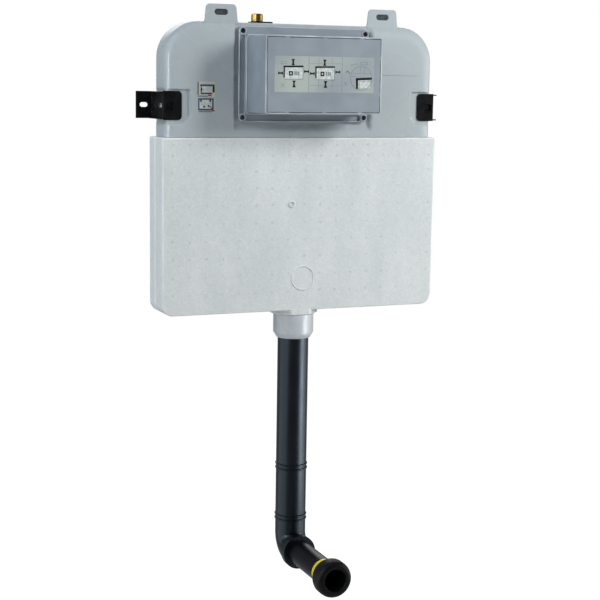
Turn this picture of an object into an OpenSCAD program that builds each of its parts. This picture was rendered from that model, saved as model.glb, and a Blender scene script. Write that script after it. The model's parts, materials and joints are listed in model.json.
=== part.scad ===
// Slim in-wall toilet cistern with service box, wall brackets and flush pipe.
// X runs to the right, Y towards the wall, Z up; the wall plane is Y = 0.
// The origin lies midway between the slots of the two wall brackets.

/* [Tank] */
// Width of the tank above the insulation
tank_w = 506; // [470:1:520]
// Height of the tank top above the bracket slots
tank_rise = 142.5; // [138:0.5:170]
// Depth of the tank inside the insulation
tank_d = 62; // [60:0.5:90]
// Wall thickness of the tank
tank_wall = 3; // [2:0.1:4]
// Radius of the two upper corners
tank_corner_r = 62; // [40:1:80]
// Rounding of the front edge
front_edge_r = 18; // [10:1:22]
// Rounding of the rear edge
rear_edge_r = 12; // [6:1:14]
// How far the tank front lies behind the insulation front
front_setback = 2; // [0:0.5:4]
// Depth of the seat that the service box is sunk into
seat_depth = 9; // [5:0.5:11]
// Reach of the sunk seat beside the flange of the service box
sunk_side = 9; // [7:0.5:14]
// Reach of the sunk seat below the flange of the service box
sunk_below = 10; // [10:0.5:14]
// Rim of the tank left inside the service box at its sides
opening_side = 13; // [8:0.5:20]
// Rim of the tank left inside the service box above and below
opening_end = 9; // [4:0.5:14]

/* [Hanging ears] */
// Distance between the two ear slots
ear_span = 304.6; // [290:0.2:320]
// Width of an ear at its foot
ear_w = 60; // [50:1:64]
// Width of an ear along its top
ear_top_w = 54; // [46:1:58]
// Height of an ear above the tank top
ear_rise = 29.5; // [26:0.5:36]
// Thickness of an ear
ear_t = 4; // [3:0.5:5]
// Length of an ear slot
ear_slot_l = 24; // [16:1:30]
// Width of an ear slot
ear_slot_w = 10; // [6:0.5:12]
// Height of the slot centre above the tank top
ear_slot_rise = 16; // [12:0.5:20]

/* [Insulation] */
// Width of the insulation jacket
jacket_w = 521; // [480:1:540]
// Height of the insulation jacket
jacket_h = 307.5; // [280:0.5:340]
// Distance of the jacket top below the bracket slots
jacket_drop = 54; // [50:1:70]
// Thickness of the jacket at front and rear
jacket_wall = 6.2; // [4:0.1:12]
// Thickness of the jacket at its sides
jacket_side = 15; // [10:0.5:20]
// Thickness of the jacket below the tank
jacket_base = 12; // [8:0.5:16]
// How much narrower each side of the jacket is at its bottom
jacket_taper = 0.5; // [0:0.5:8]
// Radius of the lower jacket corners
jacket_corner_r = 20; // [12:1:26]
// Distance of the jacket seam from the wall
seam_from_wall = 33; // [28:1:36]
// Play between the tank and the jacket
foam_gap = 0.3; // [0.1:0.1:0.6]
// Depth of the jacket boss round the outlet
boss_drop = 9.5; // [8:0.5:16]
// Half width of the boss at its front
boss_front_half = 17; // [12:1:22]
// Half width of the boss at its sides
boss_side_half = 42.5; // [38:0.5:48]

/* [Service box] */
// Width of the service box
box_w = 215; // [190:1:240]
// Height of the service box
box_h = 131; // [120:1:136]
// Reach of the service box in front of its flange
box_reach = 88; // [50:1:120]
// Wall thickness of the service box
box_wall = 2.5; // [2:0.1:3]
// Height of the box centre above the bracket slots
box_rise = 54.3; // [48:0.1:58]
// Width of the flange beside the box
flange_side = 15; // [14:0.5:24]
// Height of the flange above and below the box
flange_end = 16; // [14:0.5:17]
// Thickness of the flange
flange_t = 6; // [5:0.5:8]
// Thickness of the gasket behind the flange
gasket_t = 2; // [1.5:0.1:3]
// Distance of the screws from the left and right flange edges
screw_inset_x = 7; // [6.5:0.5:11]
// Distance of the screws from the upper and lower flange edges
screw_inset_z = 8; // [7:0.5:9]
// Shank diameter of the flange screws
screw_d = 4; // [3:0.5:5]
// Width of the slits round the front panel
slit_w = 1; // [0.6:0.1:1.6]
// Length of each bridge across a slit
bridge_l = 7; // [4:1:12]
// Distance between neighbouring bridges
bridge_pitch = 68; // [50:1:80]

/* [Wall brackets] */
// Thickness of the bracket sheet
sheet_t = 2; // [1.5:0.1:3]
// Distance of the side plates outside the tank
plate_gap = 4; // [3:0.5:9]
// Width of the front tab
tab_w = 33; // [30:1:40]
// Height of the front tab
tab_h = 49; // [44:1:52]
// How far the tab front lies behind the tank front
tab_setback = 3.3; // [2:0.1:5]
// Width of the wall flange
wall_flange_w = 28; // [24:1:36]
// Height of the wall flange and side plate
wall_flange_h = 46.5; // [42:0.5:49]
// Length of the fixing slot
fixing_slot_l = 14; // [11:0.5:18]
// Width of the fixing slot
fixing_slot_w = 8; // [5:0.5:9]
// Length of the slot in the side plate
plate_slot_l = 30; // [16:1:34]
// Distance of that slot's centre behind the tab front
plate_slot_setback = 22; // [22:1:40]
// Width of the turned-out lips
lip_w = 6.5; // [4:0.5:10]

/* [Water inlet] */
// Distance of the inlet left of the centre
inlet_left = 77; // [60:0.5:95]
// Outside diameter of the inlet thread
thread_d = 20.955; // [16:0.005:27]
// Length of thread above the tank
thread_rise = 16; // [12:0.5:24]
// Bore of the inlet
inlet_bore = 12; // [8:0.5:13]
// Length of the plate under the inlet
inlet_plate_l = 39; // [34:1:44]
// Depth of the plate under the inlet
inlet_plate_d = 28; // [24:1:34]

/* [Outlet and flush pipe] */
// Outside diameter of the flush pipe
pipe_d = 56; // [50:0.5:64]
// Wall of the flush pipe
pipe_wall = 3; // [2:0.1:4]
// Depth of the pan connection below the bracket slots
outlet_drop = 810; // [760:1:900]
// Radius inside the throat of the elbow
throat_r = 1; // [1:0.5:30]
// Straight length of the elbow in front of its bend
elbow_l = 17.5; // [15:0.5:40]
// Wall of the bead round the elbow's seal
bead_wall = 5; // [3:0.5:8]
// Length of the bead at the end of the elbow
bead_l = 13; // [10:0.5:15]
// Outside diameter of the connector pipe
connector_d = 45; // [38:0.5:48]
// Wall of the connector pipe
connector_wall = 2.5; // [1.8:0.1:3]
// Distance of the connector face in front of the wall
connector_reach = 245; // [225:1:300]
// Wall of the rubber connector at its widest
rubber_wall = 10.5; // [8:0.5:14]
// Length of the rubber connector
rubber_l = 39; // [36:1:60]
// Width of the yellow band
band_w = 13; // [10:1:28]
// Wall of the outlet nut round its seal
nut_wall = 4.5; // [3:0.5:8]
// Height of the visible part of the outlet nut
nut_h = 44; // [36:1:60]

/* [Flush valve] */
// Diameter of the threaded outlet spigot
spigot_d = 44; // [36:0.5:46]
// Wall of the outlet spigot
spigot_wall = 5; // [3:0.5:6]
// Play between the valve disc and its basket
basket_play = 2.5; // [2:0.5:3.5]
// Diameter of the overflow tube
riser_d = 20; // [16:0.5:24]
// Height of the overflow rim below the bracket slots
overflow_drop = 55; // [45:1:80]
// Lift of the valve at a full push
valve_lift = 14; // [10:0.5:18]

/* [Flush levers] */
// Distance of the lever pin below the bridge bar
pin_drop = 8; // [7:0.5:20]
// Diameter of the lever pin
pin_d = 5; // [4:0.5:6]
// Length of the push paddles below the pin
paddle_l = 46; // [30:1:60]
// Gap between the overflow tube and a lift rod
rod_gap = 2.6; // [2:0.1:4]
// Diameter of the lift rods
rod_d = 4.8; // [3:0.2:6]

/* [Fill valve] */
// Distance of the fill valve left of the centre
fill_left = 140; // [125:1:170]
// Diameter of the fill valve column
column_d = 24; // [18:0.5:26]
// Diameter of the float cup
float_d = 44; // [38:0.5:45]
// Height of the float cup
float_h = 59; // [45:1:70]
// Travel of the float
float_travel = 18; // [10:1:20]
// Outside diameter of the supply hose
hose_d = 13; // [10:0.5:14]

/* [Hidden] */
$fn = 64;
hull_fn = 32;
slack = 0.05;
clear = 0.3;
edge_steps = 4;
over = 1;

jacket_d = tank_d + 2 * (jacket_wall + foam_gap);
axis_y = -jacket_d / 2;
jacket_top = -jacket_drop;
jacket_bottom = jacket_top - jacket_h;
boss_bottom = jacket_bottom - boss_drop;
seam_y = -seam_from_wall;

tank_rear = -(jacket_wall + foam_gap);
tank_front = -(jacket_d - front_setback);
lower_front = -(jacket_d - jacket_wall - foam_gap);
lower_half = jacket_w / 2 - jacket_side - foam_gap;
tank_shoulder = jacket_top + foam_gap;
tank_bottom = jacket_bottom + jacket_base + foam_gap;
tank_floor = tank_bottom + tank_wall;
lower_corner_r = jacket_corner_r + 5;
seat_y = tank_front + seat_depth;
sunk_corner_r = 12;

ear_setback = 8;
ear_front = tank_front + ear_setback;
ear_root = tank_rise - tank_wall - 1;
ear_round_r = 7;

flange_w = box_w + 2 * flange_side;
flange_h = box_h + 2 * flange_end;
sunk_drop = flange_h / 2 - box_rise + sunk_below;
screw_span_x = flange_w - 2 * screw_inset_x;
screw_span_z = flange_h - 2 * screw_inset_z;
flange_rear = seat_y - gasket_t;
flange_front = flange_rear - flange_t;
box_front = flange_front - box_reach;
box_in_w = box_w - 2 * box_wall;
box_in_h = box_h - 2 * box_wall;
opening_w = box_in_w - 2 * opening_side;
opening_h = box_in_h - 2 * opening_end;
panel_w = box_in_w - 2 * slit_w;
panel_h = box_in_h - 2 * slit_w;
side_bridge = panel_h / 4;
boss_ring_r = screw_d + 2.5;
screw_head_r = screw_d + 0.2;
screw_head_t = 2.4;
screw_end_y = seat_y + tank_wall - 1.2;

plate_x = tank_w / 2 + plate_gap;
tab_front = tank_front + tab_setback;
tab_rear = tab_front + sheet_t;
tab_round_r = 7;
catch_depth = 3;
catch_in_h = 17;
catch_out_h = 12;
catch_l = 16.5;
catch_margin = 2.8;
recess_margin = 15;
recess_above = 3;
recess_below = 6;
recess_side = 3;
recess_chamfer = 12;

inlet_x = -inlet_left;
shank_r = thread_d / 2 - 0.5;
inlet_plate_t = 2.5;
inlet_plate_shift = 6.5;
inlet_washer_t = 3.5;
inlet_flange_r = thread_d / 2 + 4.5;
inlet_flange_t = 5;
ceiling = tank_rise - tank_wall;
nipple_bottom = ceiling - 38.5;
stop_z = nipple_bottom - 6;
stop_body_r = thread_d / 2 + 3;
stop_body_h = 26;
handle_t = 6;
handle_room = 0.7;
stop_outlet_l = 21;
stop_outlet_r = 8;
stop_boss_r = 6;
stop_boss_l = axis_y - seat_y - tank_wall - handle_t - clear - handle_room;
handle_r = 9;
handle_wing = 12;

fill_x = -fill_left;
hose_r = hose_d / 2;
hose_bore = hose_d - 5;
hose_start_x = inlet_x - stop_outlet_l;
hose_bend_r = hose_start_x - fill_x;
hose_end_z = stop_z - hose_bend_r;
fill_inlet_h = 13;
fill_head_r = column_d / 2 + 4;
fill_head_h = 20;
head_top = hose_end_z - fill_inlet_h;
head_bottom = head_top - fill_head_h;
float_room = 2;
float_rest_top = head_bottom - float_travel - float_room - 16;
float_rest_bottom = float_rest_top - float_h;
float_wall = 1.5;
stop_ring_h = 3;
column_bottom = float_rest_bottom - 35;
foot_r = column_d / 2 - 3;
foot_l = 40;
holder_z = column_bottom - 20;
holder_h = 8;
float_pivot_x = fill_x - fill_head_r - 5;
float_arm = 30;
float_rod_x = float_pivot_x - float_arm;
float_rod_r = 2.5;
lever_half_t = 2.5;
float_pivot_z = head_top - 6.5;
float_lever_w = 8;
float_pin_r = 2;
float_arm_t = 6;

bridge_bar_h = 10;
bridge_bar_z = box_rise + opening_h / 2 - bridge_bar_h - 2;
bridge_bar_t = 6;
pin_y = seat_y - 3;
pin_z = bridge_bar_z - pin_drop;
rod_offset = riser_d / 2 + rod_gap + rod_d / 2;
cheek_t = 3;
cheek_pitch = 39;
hub_r = pin_d / 2 + 3;
paddle_t = 3;
fork_half = lever_half_t;
fork_w = rod_d + 7.2;
fork_slot = rod_d + 0.8;
fork_end_y = axis_y + 7.5;
rod_head_r = rod_d / 2 + 2.1;
rod_head_t = 3;
rod_head_z = pin_z + fork_half;

spigot_bore = spigot_d - 2 * spigot_wall;
seat_lip_h = 3;
seat_lip_t = 2;
riser_disc_r = spigot_bore / 2 + seat_lip_t + 1;
basket_in_r = riser_disc_r + basket_play;
basket_wall = 2;
basket_r = basket_in_r + basket_wall;
seat_washer_t = 2.5;
seat_flange_r = basket_r + 1.5;
seat_flange_t = 5;
seat_top = tank_floor + seat_washer_t + seat_flange_t;
lip_top = seat_top + seat_lip_h;
cap_t = 4;
window_h = 38;
valve_washer_t = 3;
riser_disc_t = 4;
riser_top = -overflow_drop;
riser_wall = 2;
rod_lug_t = 8;
rod_lug_z = riser_top - 15;
half_float_r = basket_in_r - 1;
half_float_h = 35;
half_float_z = seat_top + window_h + 13;
ledge_t = 3;
basket_room = 28;
basket_top = half_float_z + half_float_h + valve_lift + basket_room + cap_t;

pipe_r = pipe_d / 2;
connector_r = connector_d / 2;
seal_r = pipe_r + 4;
nut_d = 2 * (seal_r + nut_wall);
nut_top = boss_bottom - clear;
nut_bottom = nut_top - nut_h;
nut_chamfer_h = 10;
nut_neck_r = spigot_d / 2 + 5.5;
socket_r = pipe_r + clear;
socket_top = nut_bottom + 26;
pipe_top = socket_top - 1;
seal_h = 8;
seal_z = nut_bottom + 13;
spigot_bottom = socket_top + 2;
outlet_z = -outlet_drop;
bend_r = pipe_r + throat_r;
bend_z = outlet_z + bend_r;
bend_y = axis_y - bend_r;
elbow_end = bend_y - elbow_l;
ring_proud = 1.6;
ring_half = 2;
ring_pitch = 8;
upper_rings_z = outlet_z + 150.5;
lower_rings_z = outlet_z + 54.5;
connector_inner = bend_y - 1;
connector_seal_r = connector_r + 3.5;
connector_seal_l = 4;
connector_seal_y = elbow_end + 4;
bead_r = connector_seal_r + bead_wall;
connector_face = -connector_reach;
rubber_rear = connector_face + rubber_l;
rubber_lip = 4;
rubber_r = connector_r + rubber_wall;
band_t = 0.4;

tank_grey = [0.68, 0.72, 0.74];
foam_white = [0.84, 0.86, 0.86];
box_blue = [0.56, 0.6, 0.65];
steel_black = [0.09, 0.09, 0.1];
brass = [0.74, 0.54, 0.2];
pipe_black = [0.08, 0.09, 0.11];
rubber_black = [0.1, 0.1, 0.1];
band_yellow = [0.9, 0.78, 0.12];
fitting_white = [0.86, 0.87, 0.86];
fitting_blue = [0.2, 0.4, 0.65];

// A drawing of the XZ plane, extruded from front to rear
module slab(front, rear) {
    translate([0, rear, 0])
        rotate([90, 0, 0])
            linear_extrude(rear - front)
                children();
}

// A round bar along Y
module bar_y(front, rear, r) {
    slab(front, rear)
        circle(r);
}

// A round bar along X
module bar_x(left, right, r) {
    translate([left, 0, 0])
        rotate([0, 90, 0])
            cylinder(h = right - left, r = r);
}

// A tube along Z
module ring(bottom, top, outer, inner) {
    translate([0, 0, bottom])
        difference() {
            cylinder(h = top - bottom, r = outer);
            translate([0, 0, -over])
                cylinder(h = top - bottom + 2 * over, r = inner);
        }
}

// A centred rectangle with round corners
module rounded(w, h, r) {
    square([w - 2 * r, h], center = true);
    square([w, h - 2 * r], center = true);
    for (x = [-1, 1], z = [-1, 1])
        translate([x * (w / 2 - r), z * (h / 2 - r)])
            circle(r);
}

// A slot with round ends along X
module slot(l, w) {
    square([l - w, w], center = true);
    for (x = [-1, 1])
        translate([x * (l - w) / 2, 0])
            circle(w / 2);
}

// Copies its children to the left and right
module both_sides() {
    children();
    mirror([1, 0, 0])
        children();
}

// Outline with round lower corners
module foot_outline(half, bottom, top, r) {
    translate([-half, bottom + r])
        square([2 * half, top - bottom - r]);
    translate([-half + r, bottom])
        square([2 * (half - r), r + over]);
    for (x = [-1, 1])
        translate([x * (half - r), bottom + r])
            circle(r);
}

// Outline of the upper tank, drawn in from its left, right and top edges
module head_outline(inset, bottom) {
    r = tank_corner_r - inset;
    half = tank_w / 2 - inset;
    corner_z = tank_rise - tank_corner_r;
    translate([-half, bottom])
        square([2 * half, corner_z - bottom]);
    translate([-half + r, bottom])
        square([2 * (half - r), corner_z + r - bottom]);
    for (x = [-1, 1])
        translate([x * (half - r), corner_z])
            circle(r, $fn = hull_fn);
}

// Upper tank body with round front and rear edges, drawn in by a skin
module head_body(skin, bottom) {
    front_r = front_edge_r - skin;
    rear_r = rear_edge_r - skin;
    hull() {
        for (i = [0 : edge_steps]) {
            a = 90 * i / edge_steps;
            translate([0, tank_front + skin + front_r * (1 - sin(a)), 0])
                slab(0, 0.01)
                    head_outline(skin + front_r * (1 - cos(a)), bottom);
            translate([0, tank_rear - skin - rear_r * (1 - sin(a)), 0])
                slab(-0.01, 0)
                    head_outline(skin + rear_r * (1 - cos(a)), bottom);
        }
    }
}

// Sunk seat behind and around the service box, open at the top and grown by a skin
module sunk_seat(skin) {
    slope = seat_depth / 2;
    half = flange_w / 2 + sunk_side + skin;
    bottom = -sunk_drop - skin;
    top = tank_rise + over;
    hull() {
        slab(tank_front - over, tank_front + skin)
            foot_outline(half, bottom, top, sunk_corner_r + skin, $fn = hull_fn);
        slab(seat_y + skin - 0.01, seat_y + skin)
            foot_outline(half - slope, bottom + slope, top, sunk_corner_r - slope + skin, $fn = hull_fn);
    }
}

// Recess for a bracket tab on the right-hand side, grown by a skin
module bracket_recess(skin) {
    inner = plate_x - tab_w - recess_margin - skin;
    top = tab_h / 2 + recess_above + skin;
    bottom = -tab_h / 2 - recess_below - skin;
    outer = tank_w / 2 + over;
    slab(tank_front - over, tab_rear + clear + skin)
        polygon([
            [inner, bottom + recess_chamfer], [inner + recess_chamfer, bottom], [outer, bottom],
            [outer, top], [inner, top]
        ]);
    slab(tank_front - over, tank_rear + over)
        translate([tank_w / 2 - recess_side - skin, bottom])
            square([recess_side + skin + over, top - bottom]);
    slab(tank_front - over, tab_rear + catch_depth + clear + skin)
        catch_outline(clear + skin);
}

// Outline of the pressed catch in a bracket tab, grown by a margin
module catch_outline(grow) {
    outer = plate_x - catch_margin + grow;
    inner = outer - catch_l - 2 * grow;
    polygon([
        [inner, -catch_in_h / 2 - grow], [outer, -catch_out_h / 2 - grow],
        [outer, catch_out_h / 2 + grow], [inner, catch_in_h / 2 + grow]
    ]);
}

// One hanging ear with its slot
module ear() {
    foot = ear_root;
    top = tank_rise + ear_rise;
    slab(ear_front, ear_front + ear_t)
        difference() {
            hull() {
                translate([-ear_w / 2, foot])
                    square([ear_w, tank_rise - foot]);
                for (x = [-1, 1])
                    translate([x * (ear_top_w / 2 - ear_round_r), top - ear_round_r])
                        circle(ear_round_r);
            }
            translate([0, tank_rise + ear_slot_rise])
                slot(ear_slot_l, ear_slot_w);
        }
}

// Places its children at the four flange screws
module at_screws() {
    for (x = [-1, 1], z = [-1, 1])
        translate([x * screw_span_x / 2, 0, box_rise + z * screw_span_z / 2])
            children();
}

module tank_solid() {
    difference() {
        union() {
            head_body(0, tank_shoulder);
            slab(lower_front, tank_rear)
                foot_outline(lower_half, tank_bottom, tank_shoulder + over, lower_corner_r);
        }
        sunk_seat(0);
        both_sides()
            bracket_recess(0);
    }
}

module tank_cavity() {
    difference() {
        union() {
            head_body(tank_wall, tank_shoulder + tank_wall);
            slab(lower_front + tank_wall, tank_rear - tank_wall)
                foot_outline(lower_half - tank_wall, tank_floor, tank_shoulder + tank_wall + over,
                    lower_corner_r - tank_wall);
        }
        sunk_seat(tank_wall);
        both_sides()
            bracket_recess(tank_wall);
    }
}

module tank() {
    color(tank_grey) {
        difference() {
            tank_solid();
            tank_cavity();
            translate([0, 0, box_rise])
                slab(seat_y - over, seat_y + tank_wall + over)
                    rounded(opening_w, opening_h, 8);
            at_screws()
                bar_y(seat_y - over, screw_end_y + 0.2, screw_d / 2 + slack);
            translate([inlet_x, axis_y, ceiling - over])
                cylinder(h = tank_wall + 2 * over, r = shank_r + slack);
            translate([0, axis_y, tank_bottom - over])
                cylinder(h = tank_wall + 2 * over, r = spigot_d / 2 + slack);
        }
        for (x = [-1, 1])
            translate([x * ear_span / 2, 0, 0])
                ear();
    }
}

// Outline of the jacket, a little narrower towards its round lower corners
module jacket_outline() {
    foot_half = jacket_w / 2 - jacket_taper;
    hull() {
        for (x = [-1, 1])
            translate([x * (foot_half - jacket_corner_r), jacket_bottom + jacket_corner_r])
                circle(jacket_corner_r);
        translate([-jacket_w / 2, jacket_top - over])
            square([jacket_w, over]);
    }
}

// Part of the jacket between two depths
module jacket(front, rear) {
    front_chamfer = boss_side_half - boss_front_half;
    color(foam_white)
        difference() {
            union() {
                slab(front, rear)
                    jacket_outline();
                translate([0, 0, boss_bottom])
                    linear_extrude(boss_drop + over)
                        intersection() {
                            polygon([
                                [-boss_front_half, -jacket_d], [boss_front_half, -jacket_d],
                                [boss_side_half, -jacket_d + front_chamfer],
                                [boss_side_half, -front_chamfer], [boss_front_half, 0],
                                [-boss_front_half, 0], [-boss_side_half, -front_chamfer],
                                [-boss_side_half, -jacket_d + front_chamfer]
                            ]);
                            translate([-jacket_w / 2, front])
                                square([jacket_w, rear - front]);
                        }
            }
            slab(lower_front - foam_gap, tank_rear + foam_gap)
                foot_outline(lower_half + foam_gap, tank_bottom - foam_gap, jacket_top + over,
                    lower_corner_r + foam_gap);
            translate([0, axis_y, boss_bottom - over])
                cylinder(h = boss_drop + jacket_base + 2 * over, r = nut_neck_r + clear);
        }
}

module insulation_front() {
    jacket(-jacket_d, seam_y);
}

module insulation_rear() {
    jacket(seam_y, 0);
}

module service_box() {
    plinth = 2.5;
    lip = 2;
    side_groove_w = flange_side - plinth - lip - 1;
    end_groove_w = flange_end - plinth - lip - 1;
    side_groove_x = flange_w / 2 - lip - side_groove_w / 2;
    end_groove_z = flange_h / 2 - lip - end_groove_w / 2;
    color(box_blue)
        difference() {
            union() {
                translate([0, 0, box_rise]) {
                    slab(flange_front, flange_rear)
                        rounded(flange_w, flange_h, 8);
                    slab(box_front, flange_rear)
                        rounded(box_w, box_h, 4);
                    slab(flange_front - 4, flange_rear)
                        rounded(box_w + 2 * plinth, box_h + 2 * plinth, 6);
                }
                at_screws()
                    bar_y(flange_front - 1.5, flange_rear, boss_ring_r);
            }
            translate([0, 0, box_rise])
                slab(box_front - over, flange_rear + over)
                    rounded(box_in_w, box_in_h, 2);
            translate([0, 0, box_rise])
                slab(flange_front - over, flange_rear - 2)
                    union() {
                        for (i = [-1, 1])
                            translate([i * side_groove_x, 0])
                                rounded(side_groove_w, screw_span_z - 2 * boss_ring_r - 1, 2);
                        translate([0, -end_groove_z])
                            rounded(screw_span_x - 2 * boss_ring_r - 1, end_groove_w, 2);
                    }
            at_screws() {
                bar_y(flange_front - 2 - over, flange_rear + over, screw_d / 2 + clear);
                bar_y(flange_front - 2 - over, flange_front + screw_head_t, screw_head_r + clear);
            }
        }
}

module box_gasket() {
    color(rubber_black)
        difference() {
            translate([0, 0, box_rise])
                slab(flange_rear, seat_y)
                    difference() {
                        rounded(flange_w - 2, flange_h - 2, 7);
                        rounded(box_w, box_h, 4);
                    }
            at_screws()
                bar_y(flange_rear - over, seat_y + over, screw_d / 2 + clear);
        }
}

module box_screws() {
    color(steel_black)
        at_screws()
            difference() {
                union() {
                    bar_y(flange_front, screw_end_y, screw_d / 2);
                    bar_y(flange_front, flange_front + screw_head_t, screw_head_r);
                }
                for (turn = [0, 90])
                    rotate([0, turn, 0])
                        slab(flange_front - over, flange_front + 1.4)
                            square([screw_head_r * 1.3, 1.2], center = true);
            }
}

module box_panel() {
    color(box_blue)
        translate([0, 0, box_rise])
            slab(box_front, box_front + box_wall)
                union() {
                    rounded(panel_w, panel_h, 1.5);
                    for (x = [-1 : 1])
                        translate([x * bridge_pitch, 0])
                            square([bridge_l, box_in_h - 2 * slack], center = true);
                    for (z = [-1, 1])
                        translate([0, z * side_bridge])
                            square([box_in_w - 2 * slack, bridge_l], center = true);
                }
}

// Right-hand wall bracket: front tab, side plate, lips and wall flange
module bracket() {
    tab_in = plate_x - tab_w;
    slot_x = plate_x + wall_flange_w / 2;
    plate_mid = tab_front + plate_slot_setback;
    color(steel_black) {
        difference() {
            union() {
                slab(tab_front, tab_rear)
                    union() {
                        translate([tab_in + tab_round_r, -tab_h / 2])
                            square([tab_w - tab_round_r, tab_h]);
                        translate([tab_in, -tab_h / 2 + tab_round_r])
                            square([tab_w, tab_h - 2 * tab_round_r]);
                        for (z = [-1, 1])
                            translate([tab_in + tab_round_r, z * (tab_h / 2 - tab_round_r)])
                                circle(tab_round_r);
                    }
                slab(tab_front, tab_rear + catch_depth)
                    catch_outline(0);
            }
            slab(tab_front - over, tab_rear + catch_depth - sheet_t / 2)
                catch_outline(-sheet_t / 2);
        }
        difference() {
            slab(tab_front, 0)
                translate([plate_x - sheet_t, -wall_flange_h / 2])
                    square([sheet_t, wall_flange_h]);
            translate([plate_x - sheet_t - over, plate_mid, 0])
                rotate([90, 0, 90])
                    linear_extrude(sheet_t + 2 * over)
                        slot(plate_slot_l, fixing_slot_w);
        }
        for (z = [-1, 1])
            translate([plate_x - over, tab_front, z * (wall_flange_h - sheet_t) / 2 - sheet_t / 2])
                cube([lip_w + over, -tab_front, sheet_t]);
        slab(-sheet_t, 0)
            difference() {
                translate([plate_x - over, -wall_flange_h / 2])
                    square([wall_flange_w + over, wall_flange_h]);
                translate([slot_x, 0])
                    slot(fixing_slot_l, fixing_slot_w);
            }
    }
}

module bracket_right() {
    bracket();
}

module bracket_left() {
    mirror([1, 0, 0])
        bracket();
}

module inlet_nipple() {
    washer_bottom = ceiling - inlet_washer_t;
    plate_top = tank_rise + inlet_plate_t;
    color(brass)
        translate([inlet_x, axis_y, 0])
            difference() {
                union() {
                    translate([0, 0, nipple_bottom])
                        cylinder(h = plate_top - nipple_bottom + over, r = shank_r);
                    translate([0, 0, plate_top])
                        cylinder(h = tank_rise + thread_rise - plate_top, r = thread_d / 2);
                    translate([0, 0, washer_bottom - inlet_flange_t])
                        cylinder(h = inlet_flange_t, r = inlet_flange_r);
                }
                translate([0, 0, nipple_bottom - over])
                    cylinder(h = tank_rise + thread_rise, r = inlet_bore / 2);
            }
}

module inlet_plate() {
    color(rubber_black)
        translate([inlet_x, axis_y, tank_rise])
            linear_extrude(inlet_plate_t)
                difference() {
                    translate([inlet_plate_shift, 0])
                        rounded(inlet_plate_l, inlet_plate_d, 6);
                    circle(shank_r + slack);
                }
}

module inlet_washer() {
    color(rubber_black)
        translate([inlet_x, axis_y, 0])
            ring(ceiling - inlet_washer_t, ceiling, inlet_flange_r, shank_r + slack);
}

module stop_valve_body() {
    top = stop_z + stop_body_h - 7;
    color(brass)
        translate([inlet_x, axis_y, 0])
            difference() {
                union() {
                    translate([0, 0, stop_z - 12])
                        cylinder(h = top - stop_z + 12, r = stop_body_r);
                    translate([0, 0, stop_z]) {
                        bar_x(-stop_outlet_l, 0, stop_outlet_r);
                        bar_y(-stop_boss_l, 0, stop_boss_r);
                    }
                }
                translate([0, 0, nipple_bottom])
                    cylinder(h = top - nipple_bottom + over, r = shank_r + slack);
                translate([0, 0, stop_z])
                    cylinder(h = nipple_bottom - stop_z + over, r = inlet_bore / 2);
                translate([0, 0, stop_z])
                    bar_x(-stop_outlet_l - over, 0, stop_outlet_r - 3);
            }
}

module stop_valve_handle() {
    color(fitting_blue)
        translate([inlet_x, axis_y - stop_boss_l - clear, stop_z]) {
            bar_y(-handle_t, 0, handle_r);
            slab(-handle_t, 0)
                rounded(2 * handle_wing, 7, 3);
        }
}

module supply_hose() {
    color(rubber_black)
        translate([hose_start_x, axis_y, hose_end_z])
            rotate([90, 0, 0])
                rotate_extrude(angle = 90, start = 90)
                    translate([hose_bend_r, 0])
                        difference() {
                            circle(hose_r);
                            circle(hose_bore / 2);
                        }
}

module fill_valve_body() {
    color(fitting_white) {
        translate([fill_x, axis_y, 0])
            difference() {
                union() {
                    translate([0, 0, head_top])
                        cylinder(h = fill_inlet_h, r = hose_r + 1.5);
                    translate([0, 0, head_bottom])
                        cylinder(h = fill_head_h, r = fill_head_r);
                    translate([0, 0, column_bottom])
                        cylinder(h = head_bottom - column_bottom, r = column_d / 2);
                    translate([0, 0, float_rest_bottom - stop_ring_h])
                        cylinder(h = stop_ring_h, r = column_d / 2 + 3);
                    translate([0, 0, column_bottom - foot_l])
                        cylinder(h = foot_l, r = foot_r);
                }
                translate([0, 0, column_bottom - foot_l - over])
                    cylinder(h = hose_end_z - column_bottom + foot_l + 2 * over, r = hose_bore / 2);
            }
        // Two lugs that hold the float lever pin
        for (y = [-1, 1])
            translate([0, axis_y + y * (float_lever_w / 2 + clear + 1), 0])
                slab(-1, 1)
                    difference() {
                        union() {
                            translate([float_pivot_x, float_pivot_z])
                                circle(4.5);
                            translate([float_pivot_x, float_pivot_z - 4.5])
                                square([fill_head_r / 2 + fill_x - fill_head_r - float_pivot_x, 9]);
                        }
                        translate([float_pivot_x, float_pivot_z])
                            circle(float_pin_r + slack);
                    }
    }
}

module valve_holder() {
    arm_start = axis_y + foot_r + 2;
    color(fitting_white) {
        translate([fill_x, axis_y, 0])
            ring(holder_z, holder_z + holder_h, foot_r + 4, foot_r + slack);
        translate([fill_x - 5, arm_start, holder_z])
            cube([10, tank_rear - tank_wall - arm_start, holder_h]);
        translate([fill_x - 14, tank_rear - tank_wall - 3, holder_z - 6])
            cube([28, 3, holder_h + 12]);
    }
}

module float_cup() {
    sleeve = column_d / 2 + clear;
    color(fitting_blue) {
        translate([fill_x, axis_y, 0]) {
            ring(float_rest_bottom, float_rest_top, float_d / 2, float_d / 2 - float_wall);
            ring(float_rest_bottom, float_rest_top, sleeve + float_wall, sleeve);
            ring(float_rest_top - float_wall, float_rest_top, float_d / 2, sleeve);
        }
        // Arm that carries the float rod
        translate([float_rod_x - 4, axis_y - 4, float_rest_top - float_arm_t])
            cube([fill_x - float_d / 2 + float_wall - float_rod_x + 4, 8, float_arm_t]);
    }
}

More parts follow.
